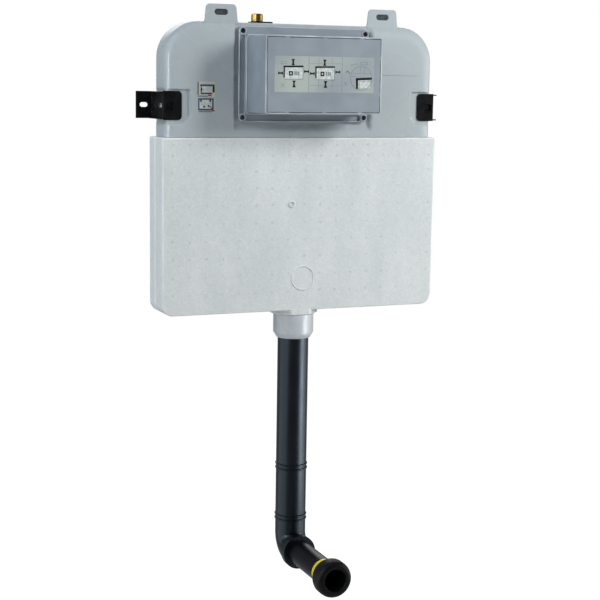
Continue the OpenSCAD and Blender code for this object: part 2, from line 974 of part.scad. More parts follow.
module float_rod() {
    tip_l = 2;
    rod_top = float_pivot_z - lever_half_t - clear;
    color(fitting_white)
        translate([float_rod_x, axis_y, float_rest_top]) {
            cylinder(h = rod_top - tip_l - float_rest_top, r = float_rod_r);
            translate([0, 0, rod_top - tip_l - float_rest_top])
                cylinder(h = tip_l, r1 = float_rod_r, r2 = float_rod_r - 1.5);
        }
}

module float_lever() {
    color(fitting_white)
        translate([float_pivot_x, axis_y, float_pivot_z])
            slab(-float_lever_w / 2, float_lever_w / 2)
                difference() {
                    union() {
                        circle(4);
                        translate([-float_arm - 5, -lever_half_t])
                            square([float_arm + 5, 2 * lever_half_t]);
                    }
                    circle(float_pin_r + slack);
                }
}

module float_pin() {
    half = float_lever_w / 2 + clear + 2;
    color(steel_black)
        translate([float_pivot_x, axis_y, float_pivot_z])
            bar_y(-half, half, float_pin_r);
}

module lever_bridge() {
    half = box_in_w / 2 - 2;
    color(fitting_white)
        difference() {
            union() {
                translate([-half, seat_y - bridge_bar_t, bridge_bar_z])
                    cube([2 * half, bridge_bar_t, bridge_bar_h]);
                for (i = [-1 : 1])
                    translate([i * cheek_pitch - cheek_t / 2, 0, 0])
                        rotate([90, 0, 90])
                            linear_extrude(cheek_t)
                                union() {
                                    translate([pin_y, pin_z])
                                        circle(hub_r);
                                    translate([pin_y - hub_r, pin_z])
                                        square([2 * hub_r, bridge_bar_z + bridge_bar_h - pin_z]);
                                }
            }
            translate([0, pin_y, pin_z])
                bar_x(-half, half, pin_d / 2 + slack);
        }
}

module lever_pin() {
    half = cheek_pitch + cheek_t / 2 + 1;
    color(steel_black)
        translate([0, pin_y, pin_z])
            bar_x(-half, half, pin_d / 2);
}

// A bell-crank lever on the right-hand side: hub, push paddle and lifting fork
module lever(paddle_w) {
    left = cheek_t / 2 + 0.5;
    right = cheek_pitch - cheek_t / 2 - 0.5;
    difference() {
        union() {
            translate([0, pin_y, pin_z])
                bar_x(left, right, hub_r);
            translate([right - 2 - paddle_w, pin_y - paddle_t, pin_z - paddle_l])
                cube([paddle_w, paddle_t, paddle_l]);
            translate([rod_offset - fork_w / 2, pin_y, pin_z - fork_half])
                cube([fork_w, fork_end_y - pin_y, 2 * fork_half]);
        }
        translate([0, pin_y, pin_z])
            bar_x(left - over, right + over, pin_d / 2 + slack);
        translate([rod_offset - fork_slot / 2, axis_y - 9, pin_z - fork_half - over])
            cube([fork_slot, fork_end_y - axis_y + 9 + over, 2 * fork_half + 2 * over]);
    }
}

module full_lever() {
    color(fitting_blue)
        lever(31);
}

module half_lever() {
    color(fitting_white)
        mirror([1, 0, 0])
            lever(21);
}

// A lift rod with the head that its lever carries
module lift_rod(x, bottom) {
    color(fitting_white)
        translate([x, axis_y, 0]) {
            translate([0, 0, bottom])
                cylinder(h = rod_head_z + rod_head_t - bottom, r = rod_d / 2);
            translate([0, 0, rod_head_z])
                cylinder(h = rod_head_t, r1 = rod_d / 2, r2 = rod_head_r);
        }
}

module full_lift_rod() {
    lift_rod(rod_offset, rod_lug_z);
}

module half_lift_rod() {
    lift_rod(-rod_offset, half_float_z + half_float_h);
}

module valve_seat() {
    flange_bottom = tank_floor + seat_washer_t;
    color(fitting_white)
        translate([0, axis_y, 0]) {
            ring(flange_bottom, seat_top, seat_flange_r, spigot_bore / 2);
            ring(spigot_bottom, flange_bottom + over, spigot_d / 2, spigot_bore / 2);
            ring(seat_top - over, lip_top, spigot_bore / 2 + seat_lip_t, spigot_bore / 2);
        }
}

module seat_washer() {
    color(rubber_black)
        translate([0, axis_y, 0])
            ring(tank_floor, tank_floor + seat_washer_t, seat_flange_r, spigot_d / 2 + slack);
}

module valve_basket() {
    inner = basket_in_r;
    color(fitting_white)
        translate([0, axis_y, 0])
            difference() {
                union() {
                    ring(seat_top, basket_top, basket_r, inner);
                    ring(half_float_z - ledge_t, half_float_z, inner + 0.5, inner - 3);
                    translate([0, 0, basket_top - cap_t])
                        cylinder(h = cap_t, r = inner + 0.5);
                }
                translate([0, 0, basket_top - cap_t - over])
                    cylinder(h = cap_t + 2 * over, r = riser_d / 2 + clear);
                translate([-rod_offset, 0, basket_top - cap_t - over])
                    cylinder(h = cap_t + 2 * over, r = rod_d / 2 + clear);
                for (turn = [45 : 90 : 315])
                    rotate([0, 0, turn])
                        translate([inner - 5, -8, seat_top + 4])
                            cube([10, 16, window_h]);
            }
}

module valve_riser() {
    lug_end = rod_offset + rod_d / 2 + 2;
    disc_bottom = lip_top + valve_washer_t;
    color(fitting_blue)
        translate([0, axis_y, 0])
            difference() {
                union() {
                    translate([0, 0, lip_top])
                        cylinder(h = riser_top - lip_top, r = riser_d / 2);
                    translate([0, 0, disc_bottom])
                        cylinder(h = riser_disc_t, r = riser_disc_r);
                    translate([0, -4, rod_lug_z - rod_lug_t])
                        cube([lug_end, 8, rod_lug_t]);
                }
                translate([0, 0, lip_top - over])
                    cylinder(h = riser_top - lip_top + 2 * over, r = riser_d / 2 - riser_wall);
            }
}

module valve_washer() {
    color(rubber_black)
        translate([0, axis_y, 0])
            ring(lip_top, lip_top + valve_washer_t, riser_disc_r, riser_d / 2 + slack);
}

module half_float() {
    color(fitting_white)
        translate([0, axis_y, 0])
            ring(half_float_z, half_float_z + half_float_h, half_float_r, riser_d / 2 + clear);
}

module outlet_nut() {
    color(tank_grey)
        translate([0, axis_y, 0])
            difference() {
                union() {
                    translate([0, 0, nut_top - over])
                        cylinder(h = tank_bottom - nut_top + over, r = nut_neck_r);
                    translate([0, 0, nut_bottom + nut_chamfer_h])
                        cylinder(h = nut_h - nut_chamfer_h, r = nut_d / 2);
                    translate([0, 0, nut_bottom])
                        cylinder(h = nut_chamfer_h, r1 = socket_r + 2, r2 = nut_d / 2);
                }
                translate([0, 0, socket_top - over])
                    cylinder(h = tank_bottom - socket_top + 2 * over, r = spigot_d / 2 + slack);
                translate([0, 0, nut_bottom - over])
                    cylinder(h = socket_top - nut_bottom + over, r = socket_r);
                translate([0, 0, seal_z])
                    cylinder(h = seal_h, r = seal_r);
            }
}

module pipe_seal() {
    color(rubber_black)
        translate([0, axis_y, 0])
            ring(seal_z, seal_z + seal_h, seal_r, pipe_r + slack);
}

// Elbow from straight down to straight forward, as a bar of one radius
module elbow_bar(r) {
    translate([0, bend_y, bend_z])
        rotate([0, 90, 0])
            rotate_extrude(angle = 90)
                translate([bend_r, 0])
                    circle(r);
}

// Raised ring round the flush pipe
module pipe_ring(z) {
    translate([0, axis_y, z])
        rotate_extrude()
            polygon([
                [pipe_r - over, -ring_half], [pipe_r, -ring_half], [pipe_r + ring_proud, -ring_half / 3],
                [pipe_r + ring_proud, ring_half / 3], [pipe_r, ring_half], [pipe_r - over, ring_half]
            ]);
}

module flush_pipe() {
    bore = pipe_r - pipe_wall;
    bead_front = elbow_end;
    color(pipe_black)
        difference() {
            union() {
                translate([0, axis_y, bend_z])
                    cylinder(h = pipe_top - bend_z, r = pipe_r);
                elbow_bar(pipe_r);
                translate([0, 0, outlet_z]) {
                    bar_y(bead_front, bend_y, pipe_r);
                    bar_y(bead_front, bead_front + bead_l, bead_r);
                }
                for (z = [upper_rings_z, lower_rings_z], i = [0, 1])
                    pipe_ring(z + i * ring_pitch);
            }
            translate([0, axis_y, bend_z])
                cylinder(h = pipe_top - bend_z + over, r = bore);
            elbow_bar(bore);
            translate([0, 0, outlet_z]) {
                bar_y(bend_y - 2, bend_y, bore);
                bar_y(bead_front - over, bend_y, connector_r + slack);
                bar_y(connector_seal_y, connector_seal_y + connector_seal_l, connector_seal_r);
            }
        }
}

module connector_seal() {
    color(rubber_black)
        translate([0, 0, outlet_z])
            slab(connector_seal_y, connector_seal_y + connector_seal_l)
                difference() {
                    circle(connector_seal_r);
                    circle(connector_r + slack);
                }
}

module connector_pipe() {
    color(pipe_black)
        translate([0, 0, outlet_z])
            slab(connector_face + rubber_lip, connector_inner)
                difference() {
                    circle(connector_r);
                    circle(connector_r - connector_wall);
                }
}

module marking_band() {
    color(band_yellow)
        translate([0, 0, outlet_z])
            slab(rubber_rear, rubber_rear + band_w)
                difference() {
                    circle(connector_r + band_t);
                    circle(connector_r);
                }
}

module pan_connector() {
    r = rubber_r;
    bore = connector_r;
    lip_bore = connector_r - connector_wall;
    color(rubber_black)
        translate([0, connector_face, outlet_z])
            rotate([-90, 0, 0])
                rotate_extrude()
                    polygon([
                        [lip_bore, 0], [r - 8, 0], [r - 5.4, 0.7], [r - 3.1, 2.2],
                        [r - 1.4, 4.6], [r - 0.4, 8], [r, 12],
                        [r, rubber_l - 15], [r - 1, rubber_l - 11.5], [r - 3, rubber_l - 7],
                        [bore + 4.5, rubber_l - 2], [bore + 3, rubber_l],
                        [bore, rubber_l], [bore, rubber_lip], [lip_bore, rubber_lip]
                    ]);
}

tank();
insulation_front();
insulation_rear();
service_box();
box_gasket();
box_screws();
box_panel();
bracket_left();
bracket_right();
inlet_nipple();
inlet_plate();
inlet_washer();
stop_valve_body();
stop_valve_handle();
supply_hose();
fill_valve_body();
valve_holder();
float_cup();
float_rod();
float_lever();
float_pin();
lever_bridge();
lever_pin();
full_lever();
half_lever();
full_lift_rod();
half_lift_rod();
valve_seat();
seat_washer();
valve_basket();
valve_riser();
valve_washer();
half_float();
outlet_nut();
pipe_seal();
flush_pipe();
connector_seal();
connector_pipe();
marking_band();
pan_connector();
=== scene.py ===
import json
import math
import random

import bmesh
import bpy
from mathutils import Matrix, Vector


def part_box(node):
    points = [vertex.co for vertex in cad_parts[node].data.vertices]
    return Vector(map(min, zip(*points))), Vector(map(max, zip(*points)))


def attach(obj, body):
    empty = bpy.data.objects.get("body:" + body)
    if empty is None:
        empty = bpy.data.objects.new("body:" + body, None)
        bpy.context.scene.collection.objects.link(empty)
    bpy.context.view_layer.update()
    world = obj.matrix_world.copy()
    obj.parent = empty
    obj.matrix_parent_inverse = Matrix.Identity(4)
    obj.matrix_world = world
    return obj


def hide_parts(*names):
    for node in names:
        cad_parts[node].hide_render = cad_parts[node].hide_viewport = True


bl_info = {
    "name": "Concealed toilet cistern",
    "version": (1, 0, 0),
    "blender": (4, 5, 0),
    "location": "3D View > Sidebar > Cistern",
    "description": "Dresses the packed cistern with its surfaces, prints and studio stage",
    "category": "Object",
}

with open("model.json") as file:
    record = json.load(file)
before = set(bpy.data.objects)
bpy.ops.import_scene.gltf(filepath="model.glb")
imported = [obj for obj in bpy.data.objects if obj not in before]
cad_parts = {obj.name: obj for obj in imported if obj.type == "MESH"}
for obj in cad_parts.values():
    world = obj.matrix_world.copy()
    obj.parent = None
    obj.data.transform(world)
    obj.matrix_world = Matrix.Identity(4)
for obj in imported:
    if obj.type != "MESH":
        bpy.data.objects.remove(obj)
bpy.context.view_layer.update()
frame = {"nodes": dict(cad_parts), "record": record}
MM = 0.001

TANK_LOW, TANK_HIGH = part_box("tank")
NIPPLE_LOW, NIPPLE_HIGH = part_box("inlet_nipple")
JACKET_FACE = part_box("insulation_front")[0].y
PANEL_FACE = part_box("box_panel")[0].y
PLATE_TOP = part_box("inlet_plate")[1].z


# Sizes and colours

def length(description, millimetres):
    """A length that a user may change, kept in metres."""
    return bpy.props.FloatProperty(description=description, default=millimetres * MM, min=0.0, unit="LENGTH",
                                   precision=4)


def tone(description, default):
    """An sRGB colour written as hex."""
    return bpy.props.StringProperty(description=description, default=default)


def number(description, default, unit="NONE"):
    """A number, angle or power that a user may change."""
    return bpy.props.FloatProperty(description=description, default=default, unit=unit)


class CisternSizes(bpy.types.PropertyGroup):
    """Sizes of the dressed pieces"""
    tank_top: length("Height of the tank's roof over the bracket slots", 142.5)
    tank_corner: length("Radius of the two upper corners", 62)
    tank_front_edge: length("Depth of the rounding where the front meets the sides and top", 18)
    tank_front_reach: length("How far in from the outline that rounding starts", 27)
    tank_rear_edge: length("Rounding where the rear meets the sides and top", 12)
    tank_wall: length("Thickness of the blown wall", 3)
    shoulder: length("Depth of the shoulder under the bracket slots", 53.7)
    lower_side: length("How far the lower body stands in at each side", 7.8)
    lower_front: length("How far the lower body stands back at the front", 4.5)
    lower_corner: length("Radius of the two bottom corners", 25)
    seat_depth: length("Depth of the sunk seat behind the service box", 9)
    seat_half: length("Half the width of the sunk seat", 129.3)
    seat_drop: length("How far the seat reaches under the bracket slots", 37)
    seat_soft: length("Width of the soft step at the seat's sides", 9)
    seat_slope: length("Width of the easy slope at the seat's foot", 20)
    opening_half: length("Half the width of the service opening", 92)
    opening_low: length("Bottom of the service opening", 0.3)
    opening_high: length("Top of the service opening", 108.3)
    opening_corner: length("Corner radius of the service opening", 8)
    recess_inner: length("Inner side of each bracket recess from the middle", 209.5)
    recess_high: length("Top of each bracket recess over the slots", 27)
    recess_low: length("Bottom of each bracket recess under the slots", 30.5)
    recess_depth: length("Depth of each bracket recess", 5.6)
    recess_corner: length("Corner radius of each bracket recess", 4)
    recess_slant: length("Cut corner at the bottom of each recess", 12)
    recess_side: length("How far each recess draws in the tank's side", 2)
    catch_depth: length("Depth of the pocket for each bracket's catch", 8.6)
    catch_inner: length("Inner side of that pocket from the middle", 237.4)
    catch_outer: length("Outer side of that pocket from the middle", 254.5)
    catch_half: length("Half the height of that pocket", 8.8)
    ear_reach: length("Distance of each ear from the middle", 152.3)
    ear_foot: length("Width of an ear where it leaves the tank", 60)
    ear_top: length("Width of an ear at its top", 54)
    ear_front: length("Depth of an ear's front face before the wall", 65)
    ear_thick: length("Thickness of an ear", 4)
    ear_corner: length("Radius of an ear's upper corners", 7)
    ear_slot_rise: length("Height of an ear's slot over the tank's roof", 16)
    ear_slot_long: length("Length of the slot in an ear", 24)
    ear_slot_high: length("Height of the slot in an ear", 10)
    foam_edge: length("Rounding of the foam jacket's edges", 3)
    box_edge: length("Rounding of the service box's edges", 2)
    box_wall: length("Wall of the service box", 2.5)
    flange_thick: length("Thickness of the box's flange", 6)
    flange_side: length("Width of the flange beside the box", 15)
    flange_end: length("Height of the flange over and under the box", 16)
    plinth: length("Step round the foot of the box", 2.5)
    plinth_rise: length("Height of that step", 4)
    groove_lip: length("Rim outside the flange's grooves", 2)
    groove_shoulder: length("Flange width that the grooves leave", 5.5)
    groove_floor: length("Plate left behind the grooves", 2)
    screw_inset_x: length("Screws from the flange's left and right edges", 7)
    screw_inset_z: length("Screws from the flange's upper and lower edges", 8)
    screw_seat: length("Radius of the seat round each screw head", 4.5)
    screw_bore: length("Bore for each screw's shank", 4.6)
    boss_radius: length("Radius of the ring round each screw", 6.5)
    panel_edge: length("Rounding of the panel's edges", 0.35)
    bracket_edge: length("Rounding of the sheet steel's edges", 0.5)
    moulding_edge: length("Rounding of small mouldings", 0.6)
    vent_radius: length("Radius of the steam vent marks on the foam", 2.7)
    vent_pitch: length("Distance between the steam vent marks", 30.6)
    label_width: length("Width of the label on the panel", 184)
    label_height: length("Height of the label on the panel", 60)
    label_rise: length("Height of the label's middle over the slots", 55.5)
    film: length("Thickness of label and sticker film", 0.2)
    ink: length("Thickness of printed ink", 0.05)
    thread_pitch: length("Pitch of the half-inch pipe thread", 1.814)
    thread_depth: length("Depth of the thread, drawn shallow because the stub looks almost smooth", 0.14)
    shank_radius: length("Radius of the inlet's plain shank", 9.9775)
    inlet_bore: length("Radius of the inlet's bore", 7.2)


class CisternColours(bpy.types.PropertyGroup):
    """Colours of the finishes"""
    tank_light: tone("Lighter grey of the blown tank", "#B4BEC1")
    tank_dark: tone("Darker grey of the blown tank", "#B1BBBF")
    foam_light: tone("Faces of the foam beads", "#E0E5E4")
    foam_dark: tone("Foam between the beads", "#D2D8D8")
    # Painted highlight: a paler tone on the jacket's rounded edges and ring stands in for the light they
    # catch
    foam_edge: tone("Foam pressed smooth along the edges", "#EDF1F3")
    # Painted shade: the vent marks are darkened to stand in for the shade in their dents
    foam_vent_shade: tone("Squeezed foam of the vent marks", "#C9CFCE")
    collar_light: tone("Pale grey of the outlet collar", "#CCD2D6")
    collar_dark: tone("Shade in the outlet collar", "#C0C7CC")
    box_light: tone("Lighter blue-grey of the service box", "#949EA6")
    box_dark: tone("Darker blue-grey of the service box", "#89939C")
    # Painted highlight: this pale tone on the box's rounded edges stands in for the light they catch
    box_edge: tone("Polished edges of the service box", "#D3DAE2")
    steel_black: tone("Coating of the brackets", "#0B0C0D")
    steel_worn: tone("Coating where it is rubbed", "#121415")
    screw_light: tone("Rubbed plating of the screws", "#8A9197")
    screw_dark: tone("Dark plating of the screws", "#2A2E31")
    brass_light: tone("Fresh turned brass", "#EBC67A")
    brass_dark: tone("Dulled brass", "#D3AC62")
    pipe_black: tone("Black of the flush pipe", "#05070A")
    pipe_worn: tone("Rubbed black of the flush pipe", "#090B0F")
    # Painted shade: the two tones of the sheet that fills the ears' slots, standing in for the shadow inside
    # them
    web_light: tone("Dark web in the ears' slots", "#4A5457")
    web_dark: tone("Shade of that web", "#363F42")
    rubber_black: tone("Black of seals and connector", "#070809")
    rubber_dusty: tone("Rubber with bloom", "#0A0B0D")
    yellow: tone("Yellow of the marking band", "#F4DF16")
    yellow_dark: tone("Darker yellow of the marking band", "#E9D015")
    blue: tone("Blue of the moving inner parts", "#2F63A0")
    blue_dark: tone("Darker blue of the moving inner parts", "#295890")
    white: tone("White of the inner mouldings", "#E6E8E5")
    white_dark: tone("Shade in the white mouldings", "#DADCD8")
    steel: tone("Bright steel of the pins", "#C2C4C4")
    steel_dark: tone("Drawn lines in the pins", "#A6A8A8")
    label: tone("Film of the panel's label", "#B3BDB6")
    sticker: tone("Film of the small stickers", "#CFCDB6")
    ink_black: tone("Black print", "#16181A")
    ink_grey: tone("Grey print", "#7E8789")
    ink_pale: tone("Pale print", "#DDE3E1")
    ink_blue: tone("Blue print", "#123A55")
    ink_red: tone("Red print", "#94423A")
    floor: tone("Studio floor", "#F4F4F2")


class CisternStage(bpy.types.PropertyGroup):
    """Camera and studio lamps"""
    lens: number("Focal length", 85.69, "CAMERA")
    camera_yaw: number("Turn to the right of the wall's normal", math.radians(22.95), "ROTATION")
    camera_pitch: number("Tilt downwards", math.radians(8.75), "ROTATION")
    camera_roll: number("Roll about the view", math.radians(0.90), "ROTATION")
    camera_place: bpy.props.FloatVectorProperty(description="Where the camera stands", subtype="TRANSLATION",
                                                default=(-0.9876, -2.3998, 0.0457))
    key_power: number("Right-hand softbox", 19, "POWER")
    fill_power: number("Left-hand softbox", 37, "POWER")
    rear_power: number("Softbox behind", 26, "POWER")
    side_power: number("Wide softbox at the right", 20, "POWER")
    left_power: number("Wide low softbox at the left", 15, "POWER")
    edge_power: number("Narrow softbox at the left", 11, "POWER")
    low_power: number("Low softbox at the right", 5, "POWER")
    strip_power: number("Low strip light at the right", 16, "POWER")
    room_light: number("Even light of the studio", 0.27)
    room_gloss: number("How bright the studio shows in gloss", 0.05)
    backdrop_gloss: number("How bright the backdrop shows in gloss", 0.2)
    floor_depth: length("Depth of the floor under the bracket slots", 2200)


# Shared making

def linear(hex_colour):
    """An sRGB hex colour as linear red, green, blue and full alpha."""
    parts = [int(hex_colour.lstrip("#")[i:i + 2], 16) / 255 for i in (0, 2, 4)]
    return [c / 12.92 if c <= 0.04045 else ((c + 0.055) / 1.055) ** 2.4 for c in parts] + [1.0]


def fill(tree, node, inputs):
    """Fills a node's inputs: a socket or a node's first output is linked, anything else is a value."""
    for name, value in inputs.items():
        socket = node.inputs[name]
        if isinstance(value, bpy.types.Node):
            value = value.outputs[0]
        if isinstance(value, bpy.types.NodeSocket):
            tree.links.new(value, socket)
        else:
            socket.default_value = value


def add(tree, kind, inputs=None, **settings):
    """Adds one shader node, sets its properties, then fills its inputs."""
    made = tree.nodes.new("ShaderNode" + kind)
    for name, value in settings.items():
        setattr(made, name, value)
    fill(tree, made, inputs or {})
    return made


def blend(tree, factor, one, two, **settings):
    """A colour mixed from two."""
    return add(tree, "Mix", {0: factor, 6: one, 7: two}, data_type="RGBA", **settings).outputs[2]


def piece(name, bm, body, finish, crease=35, flat=False):
    """Turns a bmesh into a named object that rides on a body; flat keeps large faces evenly shaded."""
    bmesh.ops.recalc_face_normals(bm, faces=bm.faces)
    mesh = bpy.data.meshes.new(name)
    bm.to_mesh(mesh)
    bm.free()
    mesh.polygons.foreach_set("use_smooth", [True] * len(mesh.polygons))
    mesh.set_sharp_from_angle(angle=math.radians(crease))
    mesh.materials.append(FINISHES[finish])
    made = bpy.data.objects.new(name, mesh)
    bpy.context.scene.collection.objects.link(made)
    if flat:
        made.modifiers.new("Normals", "WEIGHTED_NORMAL").keep_sharp = True
    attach(made, body)
    return made


def ring(bm, points):
    """A closed loop of new vertices."""
    return [bm.verts.new(p) for p in points]


def skin(bm, one, two, finish=0):
    """Quads between two closed loops of the same count."""
    for i in range(len(one)):
        j = (i + 1) % len(one)
        bm.faces.new((one[i], one[j], two[j], two[i])).material_index = finish


def rounded(corners, radii, steps=6):
    """An anticlockwise outline whose corners are rounded."""
    outline = []
    count = len(corners)
    for i, (corner, radius) in enumerate(zip(corners, radii)):
        point = Vector(corner)
        before = (Vector(corners[i - 1]) - point).normalized()
        after = (Vector(corners[(i + 1) % count]) - point).normalized()
        if radius == 0:
            outline.append(point)
            continue
        half = before.angle(after) / 2
        centre = point + (before + after).normalized() * (radius / math.sin(half))
        start = point + before * (radius / math.tan(half)) - centre
        sweep = math.copysign(math.pi - 2 * half, after.cross(before))
        for k in range(steps + 1):
            outline.append(centre + Matrix.Rotation(sweep * k / steps, 2) @ start)
    return outline


def oblong(x, z, width, height, corner, steps=5):
    """A rounded rectangle about a middle."""
    w, h = width / 2, height / 2
    return rounded([(x - w, z - h), (x + w, z - h), (x + w, z + h), (x - w, z + h)], [corner] * 4, steps)


def inset(outline, depth):
    """An anticlockwise outline moved inwards."""
    moved = []
    for before, point, after in zip(outline[-1:] + outline[:-1], outline, outline[1:] + outline[:1]):
        a = (point - before).normalized()
        b = (after - point).normalized()
        across = Vector((-a.y - b.y, a.x + b.x))
        moved.append(point + across * (2 * depth / across.length_squared))
    return moved


def slab(bm, outer, holes, front, rear, edge, rim=None, edge_index=0):
    """A flat plate across X and Z whose outer edges and hole rims are rounded at front and rear."""
    turns = [math.radians(a) for a in (0, 30, 60, 90)]
    ends = ([], [])
    for outline, side, round_off in [(outer, 1, edge)] + [(hole, -1, rim or edge) for hole in holes]:
        curve = [(round_off * (1 - math.cos(t)), round_off * (1 - math.sin(t))) for t in turns]
        levels = [(front + back, inward) for back, inward in curve]
        levels += [(rear - back, inward) for back, inward in reversed(curve)]
        loops = []
        for y, depth in levels:
            loops.append(ring(bm, [Vector((p.x, y, p.y)) for p in inset(outline, side * depth)]))
        for i, (one, two) in enumerate(zip(loops, loops[1:])):
            skin(bm, one, two, 0 if i == 3 else edge_index)
        ends[0].append(loops[0])
        ends[1].append(loops[-1])
    for loops in ends:
        rims = [bm.edges.get((loop[i - 1], loop[i])) for loop in loops for i in range(len(loop))]
        bmesh.ops.triangle_fill(bm, use_beauty=True, use_dissolve=False, edges=rims)


def plate(name, outline, holes, front, rear, edge, finish, body="cistern"):
    """A slab as a piece of its own."""
    bm = bmesh.new()
    slab(bm, outline, holes, front, rear, edge)
    piece(name, bm, body, finish, flat=True)


def soften(node, width, segments=3, angle=32, edge_finish=None):
    """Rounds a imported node's edges without touching its mesh, with their own finish if one is named."""
    solid = frame["nodes"][node]
    solid.modifiers.new("Weld", "WELD").merge_threshold = 0.02 * MM
    flat = solid.modifiers.new("Planes", "DECIMATE")
    flat.decimate_type = "DISSOLVE"
    flat.angle_limit = math.radians(1)
    bevel = solid.modifiers.new("Edges", "BEVEL")
    bevel.width = width
    bevel.segments = segments
    bevel.limit_method = "ANGLE"
    bevel.angle_limit = math.radians(angle)
    if edge_finish:
        solid.data.materials.append(FINISHES[edge_finish])
        bevel.material = len(solid.data.materials) - 1
    solid.modifiers.new("Normals", "WEIGHTED_NORMAL").keep_sharp = True


# Finishes

def surface(name):
    """A new material with its tree, its shader and the place on the part in metres."""
    made = bpy.data.materials.new(name)
    made.use_nodes = True
    tree = made.node_tree
    return made, tree, tree.nodes["Principled BSDF"], add(tree, "TexCoord").outputs["Object"]


def moulded(name, light, dark, patch, grain, height, roughness, stretch=(1, 1, 1), **sockets):
    """A finish whose tone drifts in patches and whose skin has a grain, both sized in millimetres."""
    made, tree, shader, place = surface(name)
    patches = add(tree, "TexNoise", {"Vector": place, "Scale": 1 / (patch * MM), "Detail": 1.5})
    drift = {"Value": patches, "From Min": 0.25, "From Max": 0.75}
    spread = add(tree, "MapRange", drift, interpolation_type="SMOOTHSTEP")
    colour = blend(tree, spread, linear(light), linear(dark))
    gloss = add(tree, "MapRange", {**drift, "To Min": roughness[0], "To Max": roughness[1]},
                interpolation_type="SMOOTHSTEP")
    drawn = add(tree, "Mapping", {"Vector": place, "Scale": stretch})
    skin_grain = add(tree, "TexNoise", {"Vector": drawn, "Scale": 1 / (grain * MM), "Detail": 2.0})
    relief = add(tree, "Bump", {"Height": skin_grain, "Distance": height * MM})
    fill(tree, shader, {"Base Color": colour, "Roughness": gloss, "Normal": relief})
    fill(tree, shader, {socket.replace("_", " "): value for socket, value in sockets.items()})
    return made


def bead_foam(name, light, dark):
    """Expanded polystyrene: beads about 4 mm across, pressed flat and smooth, that meet in faint lines."""
    made, tree, shader, place = surface(name)
    bead = {"Vector": place, "Scale": 1 / (4.2 * MM)}
    cells = add(tree, "TexVoronoi", bead)
    joints = add(tree, "TexVoronoi", bead, feature="DISTANCE_TO_EDGE")
    # The filling flow leaves upright clouds about 45 mm wide and 130 mm high
    upright = add(tree, "Mapping", {"Vector": place, "Scale": (1, 1, 0.35)})
    drift = add(tree, "TexNoise", {"Vector": upright, "Scale": 1 / (45 * MM), "Detail": 2.0})
    grey = add(tree, "SeparateColor", {"Color": cells.outputs["Color"]})
    speck = add(tree, "Math", {0: grey, 1: 0.3}, operation="MULTIPLY")
    lump = add(tree, "Math", {0: speck, 1: drift}, operation="ADD")
    face = add(tree, "MapRange", {"Value": lump, "From Min": 0.35, "From Max": 0.95})
    body = blend(tree, face, linear(light), linear(dark))
    line = add(tree, "MapRange", {"Value": joints, "From Max": 0.1, "To Min": 0.93, "To Max": 1.0})
    shaded = blend(tree, 1.0, body, line, blend_type="MULTIPLY")
    dome = add(tree, "MapRange", {"Value": joints, "From Max": 0.3})
    relief = add(tree, "Bump", {"Height": dome, "Distance": 0.06 * MM})
    fill(tree, shader, {"Base Color": shaded, "Roughness": 0.72, "IOR": 1.4, "Normal": relief})
    return made


def turned_metal(name, light, dark, roughness, ridge):
    """Bare metal with the fine rings that a turning tool leaves."""
    made, tree, shader, place = surface(name)
    cloud = add(tree, "TexNoise", {"Vector": place, "Scale": 1 / (12 * MM), "Detail": 3.0})
    dulled = add(tree, "MapRange", {"Value": cloud, "From Min": 0.35, "From Max": 0.75})
    colour = blend(tree, dulled, linear(light), linear(dark))
    gloss = add(tree, "MapRange", {"Value": cloud, "To Min": roughness * 0.7, "To Max": roughness * 1.4})
    rings = add(tree, "TexWave", {"Vector": place, "Scale": 0.314 / (ridge * MM)},
                wave_type="BANDS", bands_direction="Z")
    relief = add(tree, "Bump", {"Height": rings.outputs["Fac"], "Distance": 0.01 * MM})
    fill(tree, shader, {"Base Color": colour, "Metallic": 1.0, "Roughness": gloss, "Normal": relief})
    return made


# Black polyethylene answers white lamps with a cool gleam
COOL_GLOSS = (0.65, 0.82, 1.0, 1.0)


